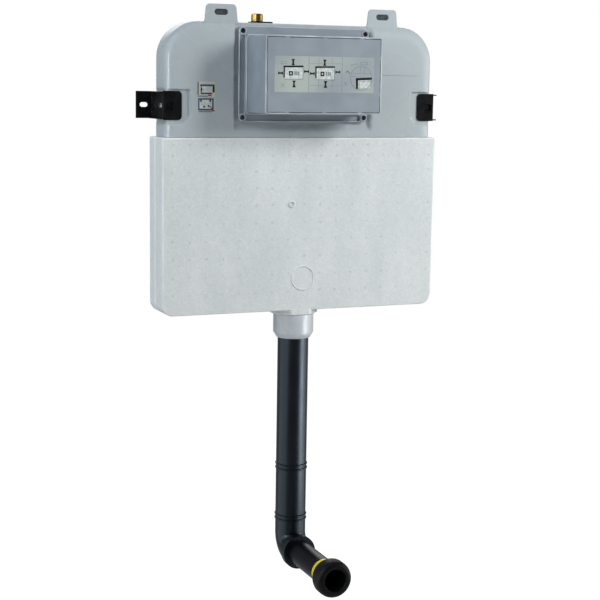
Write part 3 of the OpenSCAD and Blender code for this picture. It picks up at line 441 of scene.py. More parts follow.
def make_finishes(c):
    """Every finish of the cistern, by a short name."""
    made = {
        # Satin grey skin, faintly cloudy, with the soft orange peel of a blown mould
        "tank": moulded("blow_moulded_polyethylene", c.tank_light, c.tank_dark, 60, 2.2, 0.015, (0.26, 0.3),
                        IOR=1.51),
        # Chalky white beads pressed flat against the mould
        "foam": bead_foam("expanded_polystyrene", c.foam_light, c.foam_dark),
        # The same foam pressed smooth along the mould's edges, glossier, and painted paler as a highlight
        "foam_edge": moulded("edge_polystyrene_painted_highlight", c.foam_edge, c.foam_light, 30, 1.5, 0.03, (0.5, 0.6),
                             IOR=1.4),
        # And duller under a steam vent, darkened as the painted shade of the dent
        "mark": moulded("vent_mark_painted_shade", c.foam_vent_shade, c.foam_dark, 14, 1.0, 0.05,
                        (0.75, 0.9), IOR=1.4),
        # Even blue-grey, finely spark-eroded, with soft edges that carry a painted highlight
        "box": moulded("moulded_abs", c.box_light, c.box_dark, 45, 0.9, 0.02, (0.46, 0.54), IOR=1.54,
                       Specular_IOR_Level=0.4),
        # The same plastic on the rounded edges, glossier, and painted paler as a highlight
        "box_edge": moulded("abs_edge_painted_highlight", c.box_edge, c.box_light, 45, 0.9, 0.01,
                            (0.3, 0.38), IOR=1.54),
        # Deep black with the small ripple of baked powder
        "steel": moulded("powder_coated_steel", c.steel_black, c.steel_worn, 14, 1.1, 0.02,
                         (0.34, 0.46), IOR=1.5, Specular_IOR_Level=0.22),
        # Dark plated screw heads with a grey glint
        "screw": moulded("black_zinc_plate", c.screw_light, c.screw_dark, 3, 0.6, 0.01,
                         (0.3, 0.45), Metallic=1.0),
        # Warm yellow metal with tool rings and slightly dulled patches
        "brass": turned_metal("turned_brass", c.brass_light, c.brass_dark, 0.16, 0.5),
        # Glossy black with long faint draw lines down its length
        "pipe": moulded("extruded_polyethylene", c.pipe_black, c.pipe_worn, 50, 1.6, 0.004, (0.3, 0.36),
                        stretch=(1, 1, 0.04), IOR=1.51, Specular_IOR_Level=0.45, Specular_Tint=COOL_GLOSS),
        # The same tube lying along the other axis
        "tube": moulded("drawn_polyethylene", c.pipe_black, c.pipe_worn, 50, 1.6, 0.004, (0.34, 0.4),
                        stretch=(1, 0.04, 1), IOR=1.51, Specular_IOR_Level=0.2, Specular_Tint=COOL_GLOSS),
        # Pale grey screw collar, smooth and slightly waxy
        "collar": moulded("moulded_polypropylene_grey", c.collar_light, c.collar_dark, 25, 0.9, 0.02,
                          (0.26, 0.34), IOR=1.49),
        # Small black mouldings with a fine matt skin
        "black": moulded("moulded_polypropylene_black", c.pipe_black, c.pipe_worn, 12, 0.8, 0.02, (0.3, 0.45),
                         IOR=1.49, Specular_IOR_Level=0.15),
        # Painted shade: a dark grey sheet set into each ear's slot, where there is only the slot's shadow
        "web": moulded("slot_painted_shade", c.web_light, c.web_dark, 8, 0.8, 0.02,
                       (0.5, 0.6), IOR=1.49),
        # Matt black, with a little grey bloom
        "rubber": moulded("moulded_epdm_rubber", c.rubber_black, c.rubber_dusty, 9, 0.7, 0.02, (0.42, 0.58),
                          IOR=1.52, Specular_IOR_Level=0.16),
        # Clear strong blue with a slight shine
        "blue": moulded("moulded_polypropylene_blue", c.blue, c.blue_dark, 20, 0.8, 0.02,
                        (0.28, 0.38), IOR=1.49),
        # Milky white with a waxy shine
        "white": moulded("moulded_acetal", c.white, c.white_dark, 20, 0.8, 0.02, (0.28, 0.38), IOR=1.48),
        # Bright wire with fine lines
        "pin": turned_metal("drawn_stainless_steel", c.steel, c.steel_dark, 0.25, 0.4),
        # Bright yellow plastic tape with a low shine
        "yellow": moulded("pvc_tape", c.yellow, c.yellow_dark, 16, 1.2, 0.02, (0.32, 0.42), IOR=1.53),
        # Printed plastic films, even and slightly shiny
        "label": moulded("label_film", c.label, c.box_light, 90, 1.4, 0.008, (0.34, 0.42), IOR=1.5),
        "sticker": moulded("sticker_film", c.sticker, c.label, 60, 1.4, 0.008, (0.4, 0.48), IOR=1.5),
    }
    # Flat matt inks
    for ink, name, dark in (("ink_black", "black", c.steel_worn), ("ink_grey", "grey", c.box_dark),
                            ("ink_pale", "white", c.label), ("ink_blue", "blue", c.blue_dark),
                            ("ink_red", "red", c.ink_red)):
        made[ink] = moulded("screen_print_" + name, getattr(c, ink), dark, 5, 0.7, 0.004, (0.45, 0.55),
                            IOR=1.5)
    return made


FINISHES = {}
SLOT_FINISH = {
    "tank_plastic": "tank", "bead_foam": "foam", "box_plastic": "box", "black_steel": "steel",
    "inlet_brass": "brass", "black_plastic": "black", "seal_rubber": "rubber", "blue_plastic": "blue",
    "white_plastic": "white", "pin_steel": "pin", "yellow_tape": "yellow"}
NODE_FINISH = {"flush_pipe": "pipe", "connector_pipe": "tube", "outlet_nut": "collar", "box_screws": "screw"}


# Tank

def steps_between(stops):
    """Rows or columns through a list of (place, pitch) stops."""
    places = []
    for (start, pitch), (end, _) in zip(stops, stops[1:]):
        count = max(1, round(abs(end - start) / pitch))
        places += [start + (end - start) * i / count for i in range(count)]
    return places + [stops[-1][0]]


def eased(amount):
    """0 to 1 with soft ends."""
    amount = min(1.0, max(0.0, amount))
    return amount * amount * amount * (amount * (6 * amount - 15) + 10)


def rounding(distance, depth, reach):
    """How far a face has turned back at a distance inside its outline, starting softly at its reach."""
    if distance >= reach:
        return 0.0
    swell = 2.4
    across = 1 - max(distance, 0.0) / reach
    return depth * (1 - (1 - across ** swell) ** (1 / swell))


class TankForm:
    """The blown tank's outline, faces and presses, in millimetres."""
    lower_edge = 4
    recess_soft, catch_soft, side_soft = 3.5, 2.5, 7
    upright_columns = 138

    def __init__(self, s):
        self.half = TANK_HIGH.x / MM
        self.front, self.rear, self.low = TANK_LOW.y / MM, TANK_HIGH.y / MM, TANK_LOW.z / MM
        for name in s.__annotations__:
            setattr(self, name, getattr(s, name) / MM)
        self.corner_z = self.tank_top - self.tank_corner
        self.corner_x = self.half - self.tank_corner
        self.lower_half = self.half - self.lower_side
        self.opening_inner = self.opening_half - self.opening_corner
        self.opening_foot = self.opening_low + self.opening_corner
        self.opening_head = self.opening_high - self.opening_corner

    def reach(self, z):
        """Half width of the outline at a height."""
        if z < -self.shoulder:
            turn = max(0.0, self.low + self.lower_corner - z)
            inner = self.lower_half - self.lower_corner
            return inner + math.sqrt(max(0.0, self.lower_corner ** 2 - turn ** 2))
        turn = max(0.0, z - self.corner_z)
        return self.corner_x + math.sqrt(max(0.0, self.tank_corner ** 2 - turn ** 2))

    def depth_inside(self, x, z):
        """Distance from the outline."""
        x = abs(x)
        if z < -self.shoulder:
            low, inner = self.low + self.lower_corner, self.lower_half - self.lower_corner
            if z < low and x > inner:
                return self.lower_corner - math.hypot(x - inner, z - low)
            return min(self.lower_half - x, z - self.low)
        if z > self.corner_z and x > self.corner_x:
            return self.tank_corner - math.hypot(x - self.corner_x, z - self.corner_z)
        return min(self.half - x, self.tank_top - z)

    def press(self, y, floor, outside, soft):
        """Moves the face back to a floor inside a region, with a soft step round it."""
        return y + eased(0.5 - outside / soft) * max(0.0, floor - y)

    def front_face(self, x, z):
        """Depth of the front skin."""
        inside = self.depth_inside(x, z)
        if z < -self.shoulder:
            return self.front + self.lower_front + rounding(inside, self.lower_edge, self.lower_edge)
        y = self.front + rounding(inside, self.tank_front_edge, self.tank_front_reach)
        x = abs(x)
        pressed = eased(0.5 - (x - self.seat_half) / self.seat_soft)
        pressed *= eased(0.5 + (z + self.seat_drop) / self.seat_slope)
        y += pressed * max(0.0, self.front + self.seat_depth - y)
        over = Vector((self.recess_inner - x, max(z - self.recess_high, -self.recess_low - z)))
        over += Vector((self.recess_corner, self.recess_corner))
        beyond = Vector((max(0.0, over.x), max(0.0, over.y))).length
        recess = beyond + min(0.0, max(over)) - self.recess_corner
        slant = (self.recess_slant - (x - self.recess_inner) - (z + self.recess_low)) / math.sqrt(2)
        y = self.press(y, self.front + self.recess_depth, max(recess, slant), self.recess_soft)
        catch = max(self.catch_inner - x, x - self.catch_outer, abs(z) - self.catch_half)
        return self.press(y, self.front + self.catch_depth, catch, self.catch_soft)

    def rear_face(self, x, z):
        """Depth of the rear skin."""
        edge = self.lower_edge if z < -self.shoulder else self.tank_rear_edge
        return self.rear - rounding(self.depth_inside(x, z), edge, edge)

    def side_cut(self, x, z):
        """The outline drawn in beside each bracket."""
        outside = max(z - self.recess_high, -self.recess_low - z)
        limit = self.half - self.recess_side * eased(0.5 - outside / self.side_soft)
        return math.copysign(min(abs(x), limit), x)

    def rows(self):
        """Heights of the grid from bottom to top, finest where the skin bends."""
        edge = self.tank_top - self.tank_front_reach
        turn = [edge + self.tank_front_reach * math.sin(math.radians(a)) for a in range(9, 91, 9)]
        return steps_between([
            (self.low, 2), (self.low + 6, 6), (self.low + self.lower_corner, 40), (-60, 3),
            (-self.shoulder - 0.3, 0.6), (-self.shoulder + 0.3, 2), (-31, 1.3), (-22, 4), (-12, 3),
            (self.opening_low, 2), (self.opening_foot, 4), (20, 1.3), (31, 7),
            (self.opening_head, 2), (self.opening_high, 5), (edge, 5)]) + turn

    def columns(self):
        """Places of the grid from the middle outwards, finest where the skin bends."""
        edge = self.half - self.tank_front_reach
        turn = [edge + self.tank_front_reach * math.sin(math.radians(a)) for a in range(9, 91, 9)]
        return steps_between([
            (0, 14), (self.opening_inner, 2), (self.opening_half, 7), (118, 1.5),
            (self.upright_columns, 8), (203, 1.4), (215, 3), (edge, 3)]) + turn

    def across(self, column, z):
        """A column's place at a height: the outer ones follow the outline."""
        fixed = self.upright_columns
        if column <= fixed:
            return column
        return fixed + (column - fixed) * (self.reach(z) - fixed) / (self.half - fixed)


class CISTERN_OT_tank(bpy.types.Operator):
    """Blown tank with its seat, recesses, hanging ears and level line"""
    bl_idname = "cistern.tank"
    bl_label = "Tank"

    def execute(self, context):
        s = context.scene.cistern_sizes
        form = TankForm(s)
        rows, half = form.rows(), form.columns()
        columns = [-c for c in reversed(half[1:])] + half
        bm = bmesh.new()
        skins = []
        for face in (form.front_face, form.rear_face):
            grid = []
            for z in rows:
                line = []
                for column in columns:
                    x = math.copysign(form.across(abs(column), z), column)
                    line.append(bm.verts.new(Vector((form.side_cut(x, z), face(x, z), z)) * MM))
                grid.append(line)
            skins.append(grid)
        front, rear = skins
        opening = []
        for i in range(len(rows) - 1):
            for j in range(len(columns) - 1):
                bm.faces.new((rear[i][j], rear[i + 1][j], rear[i + 1][j + 1], rear[i][j + 1]))
                quad = (front[i][j], front[i][j + 1], front[i + 1][j + 1], front[i + 1][j])
                if self.in_opening(form, (rows[i] + rows[i + 1]) / 2, (columns[j] + columns[j + 1]) / 2):
                    opening += quad
                else:
                    bm.faces.new(quad)
        for i in range(len(rows) - 1):
            for j in (0, -1):
                bm.faces.new((front[i][j], front[i + 1][j], rear[i + 1][j], rear[i][j]))
        for j in range(len(columns) - 1):
            for i in (0, -1):
                bm.faces.new((front[i][j], front[i][j + 1], rear[i][j + 1], rear[i][j]))
        self.round_opening(form, opening)
        bmesh.ops.delete(bm, geom=[v for v in bm.verts if not v.link_faces], context="VERTS")
        tank = piece("tank_shell", bm, "cistern", "tank", crease=40)
        wall = tank.modifiers.new("Wall", "SOLIDIFY")
        wall.thickness = s.tank_wall
        wall.offset = -1
        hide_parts("tank")
        for side, name in ((-1, "left"), (1, "right")):
            self.ear(s, side, name)
        self.level_line(s)
        return {"FINISHED"}

    def in_opening(self, form, z, x):
        """Whether a cell of the front lies in the service opening."""
        beside = max(0.0, abs(x) - form.opening_inner)
        over = Vector((beside, max(0.0, form.opening_foot - z, z - form.opening_head)))
        return over.length < form.opening_corner

    def round_opening(self, form, corners):
        """Draws the ragged corner cells of the opening onto its radius."""
        for vert in set(corners):
            if all(not e.is_boundary for e in vert.link_edges):
                continue
            x, z = vert.co.x / MM, vert.co.z / MM
            near_z = min(max(z, form.opening_foot), form.opening_head)
            over = Vector((abs(x) - form.opening_inner, z - near_z))
            if over.x > 0 and over.y != 0:
                over = over.normalized() * form.opening_corner
                vert.co.x = math.copysign(form.opening_inner + over.x, x) * MM
                vert.co.z = (near_z + over.y) * MM

    def ear(self, s, side, name):
        """One hanging ear with its slot, and a dark sheet in the slot that paints its shade."""
        middle, top, foot = side * s.ear_reach, TANK_HIGH.z, s.tank_top - s.tank_wall * 1.3
        flare, waist, waist_rise, edge, slot_shade_edge = 1.2 * MM, 0.4 * MM, 4 * MM, 1.1 * MM, 0.3 * MM
        wide, narrow, throat = s.ear_foot / 2 + flare, s.ear_top / 2, s.ear_foot / 2 - waist
        outer = rounded([(middle - wide, foot), (middle + wide, foot),
                         (middle + throat, s.tank_top + waist_rise), (middle + narrow, top),
                         (middle - narrow, top), (middle - throat, s.tank_top + waist_rise)],
                        [0, 0, waist_rise, s.ear_corner, s.ear_corner, waist_rise])
        slot = oblong(middle, s.tank_top + s.ear_slot_rise, s.ear_slot_long, s.ear_slot_high,
                      s.ear_slot_high / 2 * 0.98, 6)
        plate("tank_ear_" + name, outer, [slot], -s.ear_front, -s.ear_front + s.ear_thick, edge, "tank")
        # Painted shade: a dark sheet inside the slot stands in for the shadow seen through it
        plate("ear_slot_web_" + name, slot, [], -s.ear_front + s.ear_thick * 0.55,
              -s.ear_front + s.ear_thick * 0.8, slot_shade_edge, "web")

    def level_line(self, s):
        """The faint raised line at the filling level on the right of the front."""
        middle, rise, long, high, proud = 187 * MM, 56.9 * MM, 68 * MM, 1.4 * MM, 1 * MM
        line = oblong(middle, rise, long, high, 0.6 * MM, 3)
        plate("tank_level_line", line, [], TANK_LOW.y - proud, TANK_LOW.y + proud, 0.5 * MM, "tank")


# Jacket

class CISTERN_OT_jacket(bpy.types.Operator):
    """Two halves of the foam jacket and the marks that its mould left"""
    bl_idname = "cistern.jacket"
    bl_label = "Foam jacket"

    def execute(self, context):
        s = context.scene.cistern_sizes
        for node in ("insulation_front", "insulation_rear"):
            # The rounded edges take the paler edge finish, a painted highlight
            soften(node, s.foam_edge, 4, edge_finish="foam_edge")
        self.vents(s)
        self.ring_mark()
        return {"FINISHED"}

    def mark(self, bm, x, z, profile, steps, closed=False):
        """A round mark on the front: profile of (radius, height), closed on itself or capped at both ends."""
        turns = [2 * math.pi * i / steps for i in range(steps)]
        loops = []
        for r, h in profile:
            loops.append(ring(bm, [Vector((x + r * math.cos(t), JACKET_FACE - h, z + r * math.sin(t)))
                                   for t in turns]))
        for one, two in zip(loops, loops[1:] + loops[:1] * closed):
            skin(bm, one, two)
        if not closed:
            bm.faces.new(loops[0])
            bm.faces.new(loops[-1])

    def vents(self, s):
        """Steam vent marks in rows, left out round the ring mark, and the larger mark of the filling plug."""
        draw = random.Random(11)
        bm = bmesh.new()
        middle, ring_top, root = 3 * MM, -280 * MM, -0.4 * MM
        for z in [row * MM for row in (-66, -85, -113, -142, -172, -203, -233, -264, -295, -326)]:
            for i in range(-8, 9):
                if i == 0 and z < ring_top:
                    continue
                r = s.vent_radius * draw.uniform(0.6, 1.05)
                lip = draw.uniform(0.2, 0.45) * MM
                x, dz = middle + i * s.vent_pitch + draw.uniform(-1, 1) * MM, draw.uniform(-1, 1) * MM
                profile = [(r, root), (r, lip * 0.6), (r * 0.85, lip), (r * 0.62, lip * 0.8),
                           (r * 0.5, 0.05 * MM), (r * 0.2, 0.03 * MM)]
                self.mark(bm, x, z + dz, profile, 14)
        # The vent marks take the darkened finish that paints the shade of their dents
        piece("jacket_vent_marks", bm, "cistern", "mark")
        plug = [(7.2, -0.4), (7.0, 0.05), (6.1, 0.8), (5.4, 2.4),
                (4.8, 2.8), (4.2, 2.4), (3.7, 0.1), (1.2, 0.05)]
        bm = bmesh.new()
        self.mark(bm, -21.8 * MM, -171 * MM, [(r * MM, h * MM) for r, h in plug], 28)
        piece("jacket_plug_mark", bm, "cistern", "foam")

    def ring_mark(self):
        """The plain raised ring low on the front, in the paler edge finish that paints its highlight."""
        band = [(20.0, -0.5), (20.4, 1.2), (21.2, 2.0), (22.0, 1.2), (22.4, -0.5)]
        bm = bmesh.new()
        self.mark(bm, 1 * MM, -303 * MM, [(r * MM, h * MM) for r, h in band], 64, closed=True)
        piece("jacket_ring_mark", bm, "cistern", "foam_edge")


# Service box

class CISTERN_OT_service_box(bpy.types.Operator):
    """Service box with its flange, grooves and screw bosses, its panel and its screws"""
    bl_idname = "cistern.service_box"
    bl_label = "Service box"

    def execute(self, context):
        s = context.scene.cistern_sizes
        low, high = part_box("service_box")
        rise, wide, tall = (low.z + high.z) / 2, high.x - low.x, high.z - low.z
        face = high.y - s.flange_thick
        floor = high.y - s.groove_floor
        box_wide, box_tall = wide - 2 * s.flange_side, tall - 2 * s.flange_end
        inner, gap, flange_corner, plinth_corner, box_corner = 2 * MM, 1 * MM, 8 * MM, 6 * MM, 4 * MM
        lap, fine, boss_rise = 0.2 * MM, 0.3 * MM, 1.5 * MM
        opening = oblong(0, rise, box_wide - 2 * s.box_wall, box_tall - 2 * s.box_wall, inner)
        reach_x, reach_z = wide / 2 - s.screw_inset_x, tall / 2 - s.screw_inset_z
        screws = [(x * reach_x, rise + z * reach_z) for x in (-1, 1) for z in (-1, 1)]
        side_wide, end_tall = s.flange_side - s.groove_shoulder, s.flange_end - s.groove_shoulder
        side_long, end_long = 2 * (reach_z - s.boss_radius) - gap, 2 * (reach_x - s.boss_radius) - gap
        side = wide / 2 - s.groove_lip - side_wide / 2
        grooves = [oblong(x * side, rise, side_wide, side_long, inner) for x in (-1, 1)]
        grooves.append(oblong(0, low.z + s.groove_lip + end_tall / 2, end_long, end_tall, inner))
        flange = oblong(0, rise, wide, tall, flange_corner)
        seats = [oblong(x, z, 2 * s.screw_seat, 2 * s.screw_seat, s.screw_seat * 0.99, 8) for x, z in screws]
        bores = [oblong(x, z, s.screw_bore, s.screw_bore, s.screw_bore * 0.49, 8) for x, z in screws]
        bm = bmesh.new()
        # Material 1 on the rounded strips is the paler edge finish, a painted highlight
        slab(bm, flange, [opening] + grooves + seats, face, floor + lap, 0.9 * MM, 0.6 * MM, 1)
        slab(bm, flange, [opening] + bores, floor, high.y, fine)
        plinth = oblong(0, rise, box_wide + 2 * s.plinth, box_tall + 2 * s.plinth, plinth_corner)
        slab(bm, plinth, [opening], face - s.plinth_rise, floor, 1 * MM, fine, 1)
        shaft = oblong(0, rise, box_wide, box_tall, box_corner)
        slab(bm, shaft, [opening], low.y, floor, s.box_edge, fine, 1)
        for (x, z), seat in zip(screws, seats):
            boss = oblong(x, z, 2 * s.boss_radius, 2 * s.boss_radius, s.boss_radius * 0.99, 8)
            slab(bm, boss, [seat], face - boss_rise, floor, 0.6 * MM, 0.4 * MM, 1)
        shell = piece("box_shell", bm, "cistern", "box", flat=True)
        # The second material paints a highlight on the rounded edges
        shell.data.materials.append(FINISHES["box_edge"])
        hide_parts("service_box")
        soften("box_panel", s.panel_edge, 2)
        soften("box_screws", s.panel_edge, 2)
        return {"FINISHED"}


def bar(start, end, width):
    """A straight stroke as four points."""
    start, end = Vector(start), Vector(end)
    along = (end - start).normalized() * (width / 2)
    across = Vector((-along.y, along.x))
    return [start - along - across, end + along - across, end + along + across, start - along + across]


def frame_lines(low, high, width):
    """The four strokes of a rectangle."""
    a, b, c, d = low, (high[0], low[1]), high, (low[0], high[1])
    return [bar(p, q, width) for p, q in ((a, b), (b, c), (c, d), (d, a))]


def bars(width, *ends):
    """Straight strokes of one width, each from a point to another."""
    return [bar((a, b), (c, d), width) for a, b, c, d in ends]


def blocks(*sides):
    """Filled rectangles, each by its left, foot, right and top."""
    return [[Vector((a, b)), Vector((c, b)), Vector((c, d)), Vector((a, d))] for a, b, c, d in sides]


def pinched_arrow(start, end, width, head):
    """Two arrow heads that point at each other along a short stroke."""
    start, end = Vector(start), Vector(end)
    along = (end - start).normalized()
    across = Vector((-along.y, along.x)) * head * 0.64
    heads = [[tip - across, tip + across, tip + way * head] for tip, way in ((start, along), (end, -along))]
    return [bar(start + along * width, end - along * width, width)] + heads


def circle_line(centre, radius, width, steps=40):
    """A round stroke as short quads."""
    shapes = []
    for i in range(steps):
        a, b = 2 * math.pi * i / steps, 2 * math.pi * (i + 1) / steps
        points = []
        for angle, r in ((a, radius - width / 2), (b, radius - width / 2), (b, radius + width / 2),
                         (a, radius + width / 2)):
            points.append(Vector((centre[0] + r * math.cos(angle), centre[1] + r * math.sin(angle))))
        shapes.append(points)
    return shapes


# Each ink lies this much over the one before
INK_LIFT = 0.04 * MM


def printed(name, shapes, face, thick, body, ink):
    """Shapes in millimetres printed as thin ink on a face that looks along -Y."""
    bm = bmesh.new()
    for shape in shapes:
        front = ring(bm, [Vector((p.x * MM, face - thick, p.y * MM)) for p in shape])
        rear = ring(bm, [Vector((p.x * MM, face + thick, p.y * MM)) for p in shape])
        bm.faces.new(front)
        bm.faces.new(list(reversed(rear)))
        skin(bm, front, rear)
    piece(name, bm, body, ink)


class CISTERN_OT_prints(bpy.types.Operator):
    """Label with plain pictures on the panel and two small stickers on the tank"""
    bl_idname = "cistern.prints"
    bl_label = "Label and stickers"

    def execute(self, context):
        s = context.scene.cistern_sizes
        self.label(s)
        self.stickers(s)
        return {"FINISHED"}

    def film(self, name, low, high, corner, face, s, body, finish):
        """One piece of film with rounded corners."""
        outline = rounded([low, (high[0], low[1]), high, (low[0], high[1])], [corner] * 4, 4)
        plate(name, [p * MM for p in outline], [], face - s.film, face + 0.05 * MM, 0.08 * MM, finish,
              body=body)

    def label(self, s):
        """Three pictures: the box set in a wall, the same on tiles, and its corner close up."""
        face = PANEL_FACE
        half, high, mid = s.label_width / 2 / MM, s.label_height / 2 / MM, s.label_rise / MM
        self.film("panel_label", (-half, mid - high), (half, mid + high), 2.0, face, s, "panel", "label")
        face -= s.film
        black, pale = [], []
        foot, top = mid - high, mid + high
        grey = bars(0.8, *((x, foot + 1, x, top - 1) for x in (-29.5, 32.0)))
        grey += bars(0.5, *((x, foot + 2, x, top - 2) for x in (-11.3, 13.4)))
        grey += bars(0.5, *((-28.5, z, 31.0, z) for z in (37.2, 74.0)))
        for middle in (-57.2, 0.6):
            left, right, foot, top = middle - 17.2, middle + 17.2, 46.8, 67.8
            pale += blocks((left + 1, foot + 1, right - 1, top - 1))
            black += bars(2.4, (left, foot + 4, left, top)) + bars(2.8, (left, top, right - 1, top + 0.8))
            grey += bars(0.9, (left + 1, foot, right, foot), (right, foot, right, top - 1))
            black += frame_lines((middle - 7.6, 54.2), (middle - 2.6, 59.4), 2.2)
            grey += blocks(*((middle + x, 53.6, middle + x + 2.6, 60.0) for x in (1.0, 4.4, 7.8)))
            black += pinched_arrow((middle - 1.2, 70.4), (middle - 1.2, 80.6), 2.8, 5.0)
            black += pinched_arrow((middle + 0.8, 33.6), (middle + 0.8, 44.8), 2.8, 5.4)
            black += pinched_arrow((middle - 28.2, 57.0), (middle - 19.4, 57.0), 2.4, 4.4)
            black += pinched_arrow((middle + 18.8, 60.2), (middle + 27.8, 60.2), 2.4, 4.4)
        grey += bars(0.7, (-80.5, 33.5, -73, 40.5), (-80.5, 40.5, -73, 33.5))
        grey += frame_lines((-80, 72.5), (-71, 76.5), 0.7)
        grey += circle_line((68.0, 50.6), 20.3, 1.1)
        pale += blocks((61.5, 33.5, 85.0, 47.0))
        black += bars(4.0, (60.0, 48.6, 86.2, 50.2), (60.0, 48.6, 60.6, 34.6))
        grey += bars(0.7, (65.0, 44.8, 85.0, 45.6), (65.0, 44.8, 65.2, 33.0), (49.8, 58.8, 86.0, 58.8),
                     (66.0, 59.5, 66.0, 69.6), (50.0, 53.6, 57.6, 53.6), (74.0, 59.5, 74.0, 68.6))
        black += bars(0.9, (39.6, 60.0, 42.0, 62.6), (42.0, 62.6, 46.0, 58.4))
        grey += pinched_arrow((49.0, 72.0), (59.0, 74.5), 0.8, 2.4)
        grey += frame_lines((66.5, 73.6), (79.5, 77.6), 0.8)
        grey += bars(0.8, (36.5, 44.0, 41.5, 38.5), (36.5, 38.5, 41.5, 44.0))
        for lift, (ink, shapes) in enumerate((("pale", pale), ("grey", grey), ("black", black))):
            printed("label_print_" + ink, shapes, face - lift * INK_LIFT, s.ink, "panel", "ink_" + ink)

    def stickers(self, s):
        """Two cream stickers, each with a blue picture frame."""
        face = TANK_LOW.y
        left, right = -197.5, -166.0
        self.film("tank_sticker_upper", (left, 15.6), (right, 41.0), 1.0, face, s, "cistern", "sticker")
        self.film("tank_sticker_lower", (left, -11.0), (right, 12.8), 1.0, face, s, "cistern", "sticker")
        blue = blocks((-192.6, 33.1, -166.8, 36.2), (-191.7, 19.7, -171.0, 22.2),
                      (-191.6, 22.2, -190.0, 33.1), (-196.2, 10.3, -168.2, 12.6),
                      (-196.2, -5.2, -193.8, 10.3), (-171.0, -5.2, -168.2, 10.3),
                      (-196.2, -8.0, -168.2, -5.2))
        pale = blocks((-189.0, 22.4, -170.8, 32.9), (-193.6, -5.0, -171.2, 10.1))
        black = blocks((-197.3, 18.4, -195.6, 40.2), (-191.8, 24.6, -189.0, 29.6),
                       (-170.4, 22.6, -166.8, 33.1), (-197.2, 15.8, -179.0, 17.0),
                       (-186.8, -3.2, -183.6, -0.1), (-178.9, -2.0, -175.7, 1.2),
                       (-192.6, 6.6, -189.8, 10.3), (-176.0, 7.0, -173.0, 10.3),
                       (-195.6, -10.6, -171.0, -9.4))
        red = [bar((-177.4, 17.8), (-173.2, 17.8), 2.4), bar((-174.4, -1.2), (-169.4, -7.4), 1.8),
               bar((-170.4, -8.4), (-167.2, -8.4), 2.2)]
        face -= s.film
        for ink, shapes, lift in (("blue", blue, 0), ("pale", pale, 0), ("black", black, 1), ("red", red, 2)):
            printed("sticker_print_" + ink, shapes, face - lift * INK_LIFT, s.ink, "cistern", "ink_" + ink)


# Inlet, brackets, pipes and inner parts

class CISTERN_OT_inlet(bpy.types.Operator):
    """Brass inlet with its pipe thread, and the plate under it"""
    bl_idname = "cistern.inlet"
    bl_label = "Inlet"

    def execute(self, context):
        s = context.scene.cistern_sizes
        centre = (NIPPLE_LOW + NIPPLE_HIGH) / 2
        crest, flange, flange_thick = s.shank_radius + 0.5 * MM, NIPPLE_HIGH.x - centre.x, 3 * MM
        washer, lead_in, run_out, chamfer = 2 * MM, 1.5 * MM, 0.8 * MM, 0.8 * MM
        seat = s.tank_top - s.tank_wall - washer
        start, top, bottom, steps, rows = PLATE_TOP, NIPPLE_HIGH.z, NIPPLE_LOW.z, 48, 72
        turns = [2 * math.pi * k / steps for k in range(steps)]
        bm = bmesh.new()

        def around(z, radii):
            """One loop of points round the inlet's axis."""
            return ring(bm, [Vector((centre.x + r * math.cos(t), centre.y + r * math.sin(t), z))
                             for r, t in zip(radii, turns)])

        loops = []
        for row in range(rows + 1):
            z = start + (top - start) * row / rows
            lead = max(0.0, z - (top - lead_in), start + run_out - z)
            phases = [((z - start) / s.thread_pitch - k / steps) % 1.0 for k in range(steps)]
            grooves = [s.thread_depth * abs(2 * phase - 1) for phase in phases]
            loops.append(around(z, [crest - max(lead, groove) for groove in grooves]))
        for radius, z in ((s.inlet_bore + chamfer, top), (s.inlet_bore, top - chamfer),
                          (s.inlet_bore, bottom), (s.shank_radius, bottom),
                          (s.shank_radius, seat - flange_thick),
                          (flange, seat - flange_thick), (flange, seat), (s.shank_radius, seat),
                          (s.shank_radius, start)):
            loops.append(around(z, [radius] * steps))
        for one, two in zip(loops, loops[1:] + loops[:1]):
            skin(bm, one, two)
        nipple = piece("inlet_thread", bm, "cistern", "brass", crease=50)
        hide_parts("inlet_nipple")
        soften("inlet_plate", s.moulding_edge, 2)
        return {"FINISHED"}


class CISTERN_OT_brackets(bpy.types.Operator):
    """Pressed sheet-steel wall brackets"""
    bl_idname = "cistern.brackets"
    bl_label = "Brackets"

    def execute(self, context):
        s = context.scene.cistern_sizes
        for node in ("bracket_left", "bracket_right"):
            soften(node, s.bracket_edge, 2)
        return {"FINISHED"}


class CISTERN_OT_finishes(bpy.types.Operator):
    """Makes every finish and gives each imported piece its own"""
    bl_idname = "cistern.finishes"
    bl_label = "Finishes"

    def execute(self, context):
        FINISHES.update(make_finishes(context.scene.cistern_colours))
        for part in frame["record"]["subparts"]:
            node, slot = part["node"], part["material_slot"]
            solid = frame["nodes"][node]
            solid.data.materials.clear()
            solid.data.materials.append(FINISHES[NODE_FINISH.get(node, SLOT_FINISH[slot])])
        return {"FINISHED"}


class CISTERN_OT_pipes(bpy.types.Operator):
    """Rounds the edges of the outlet collar and the pan connector"""
    bl_idname = "cistern.pipes"
    bl_label = "Pipes"

    def execute(self, context):
        s = context.scene.cistern_sizes
        soften("outlet_nut", s.moulding_edge, 2)
        soften("pan_connector", s.moulding_edge * 1.5, 3)
        return {"FINISHED"}


# Stage

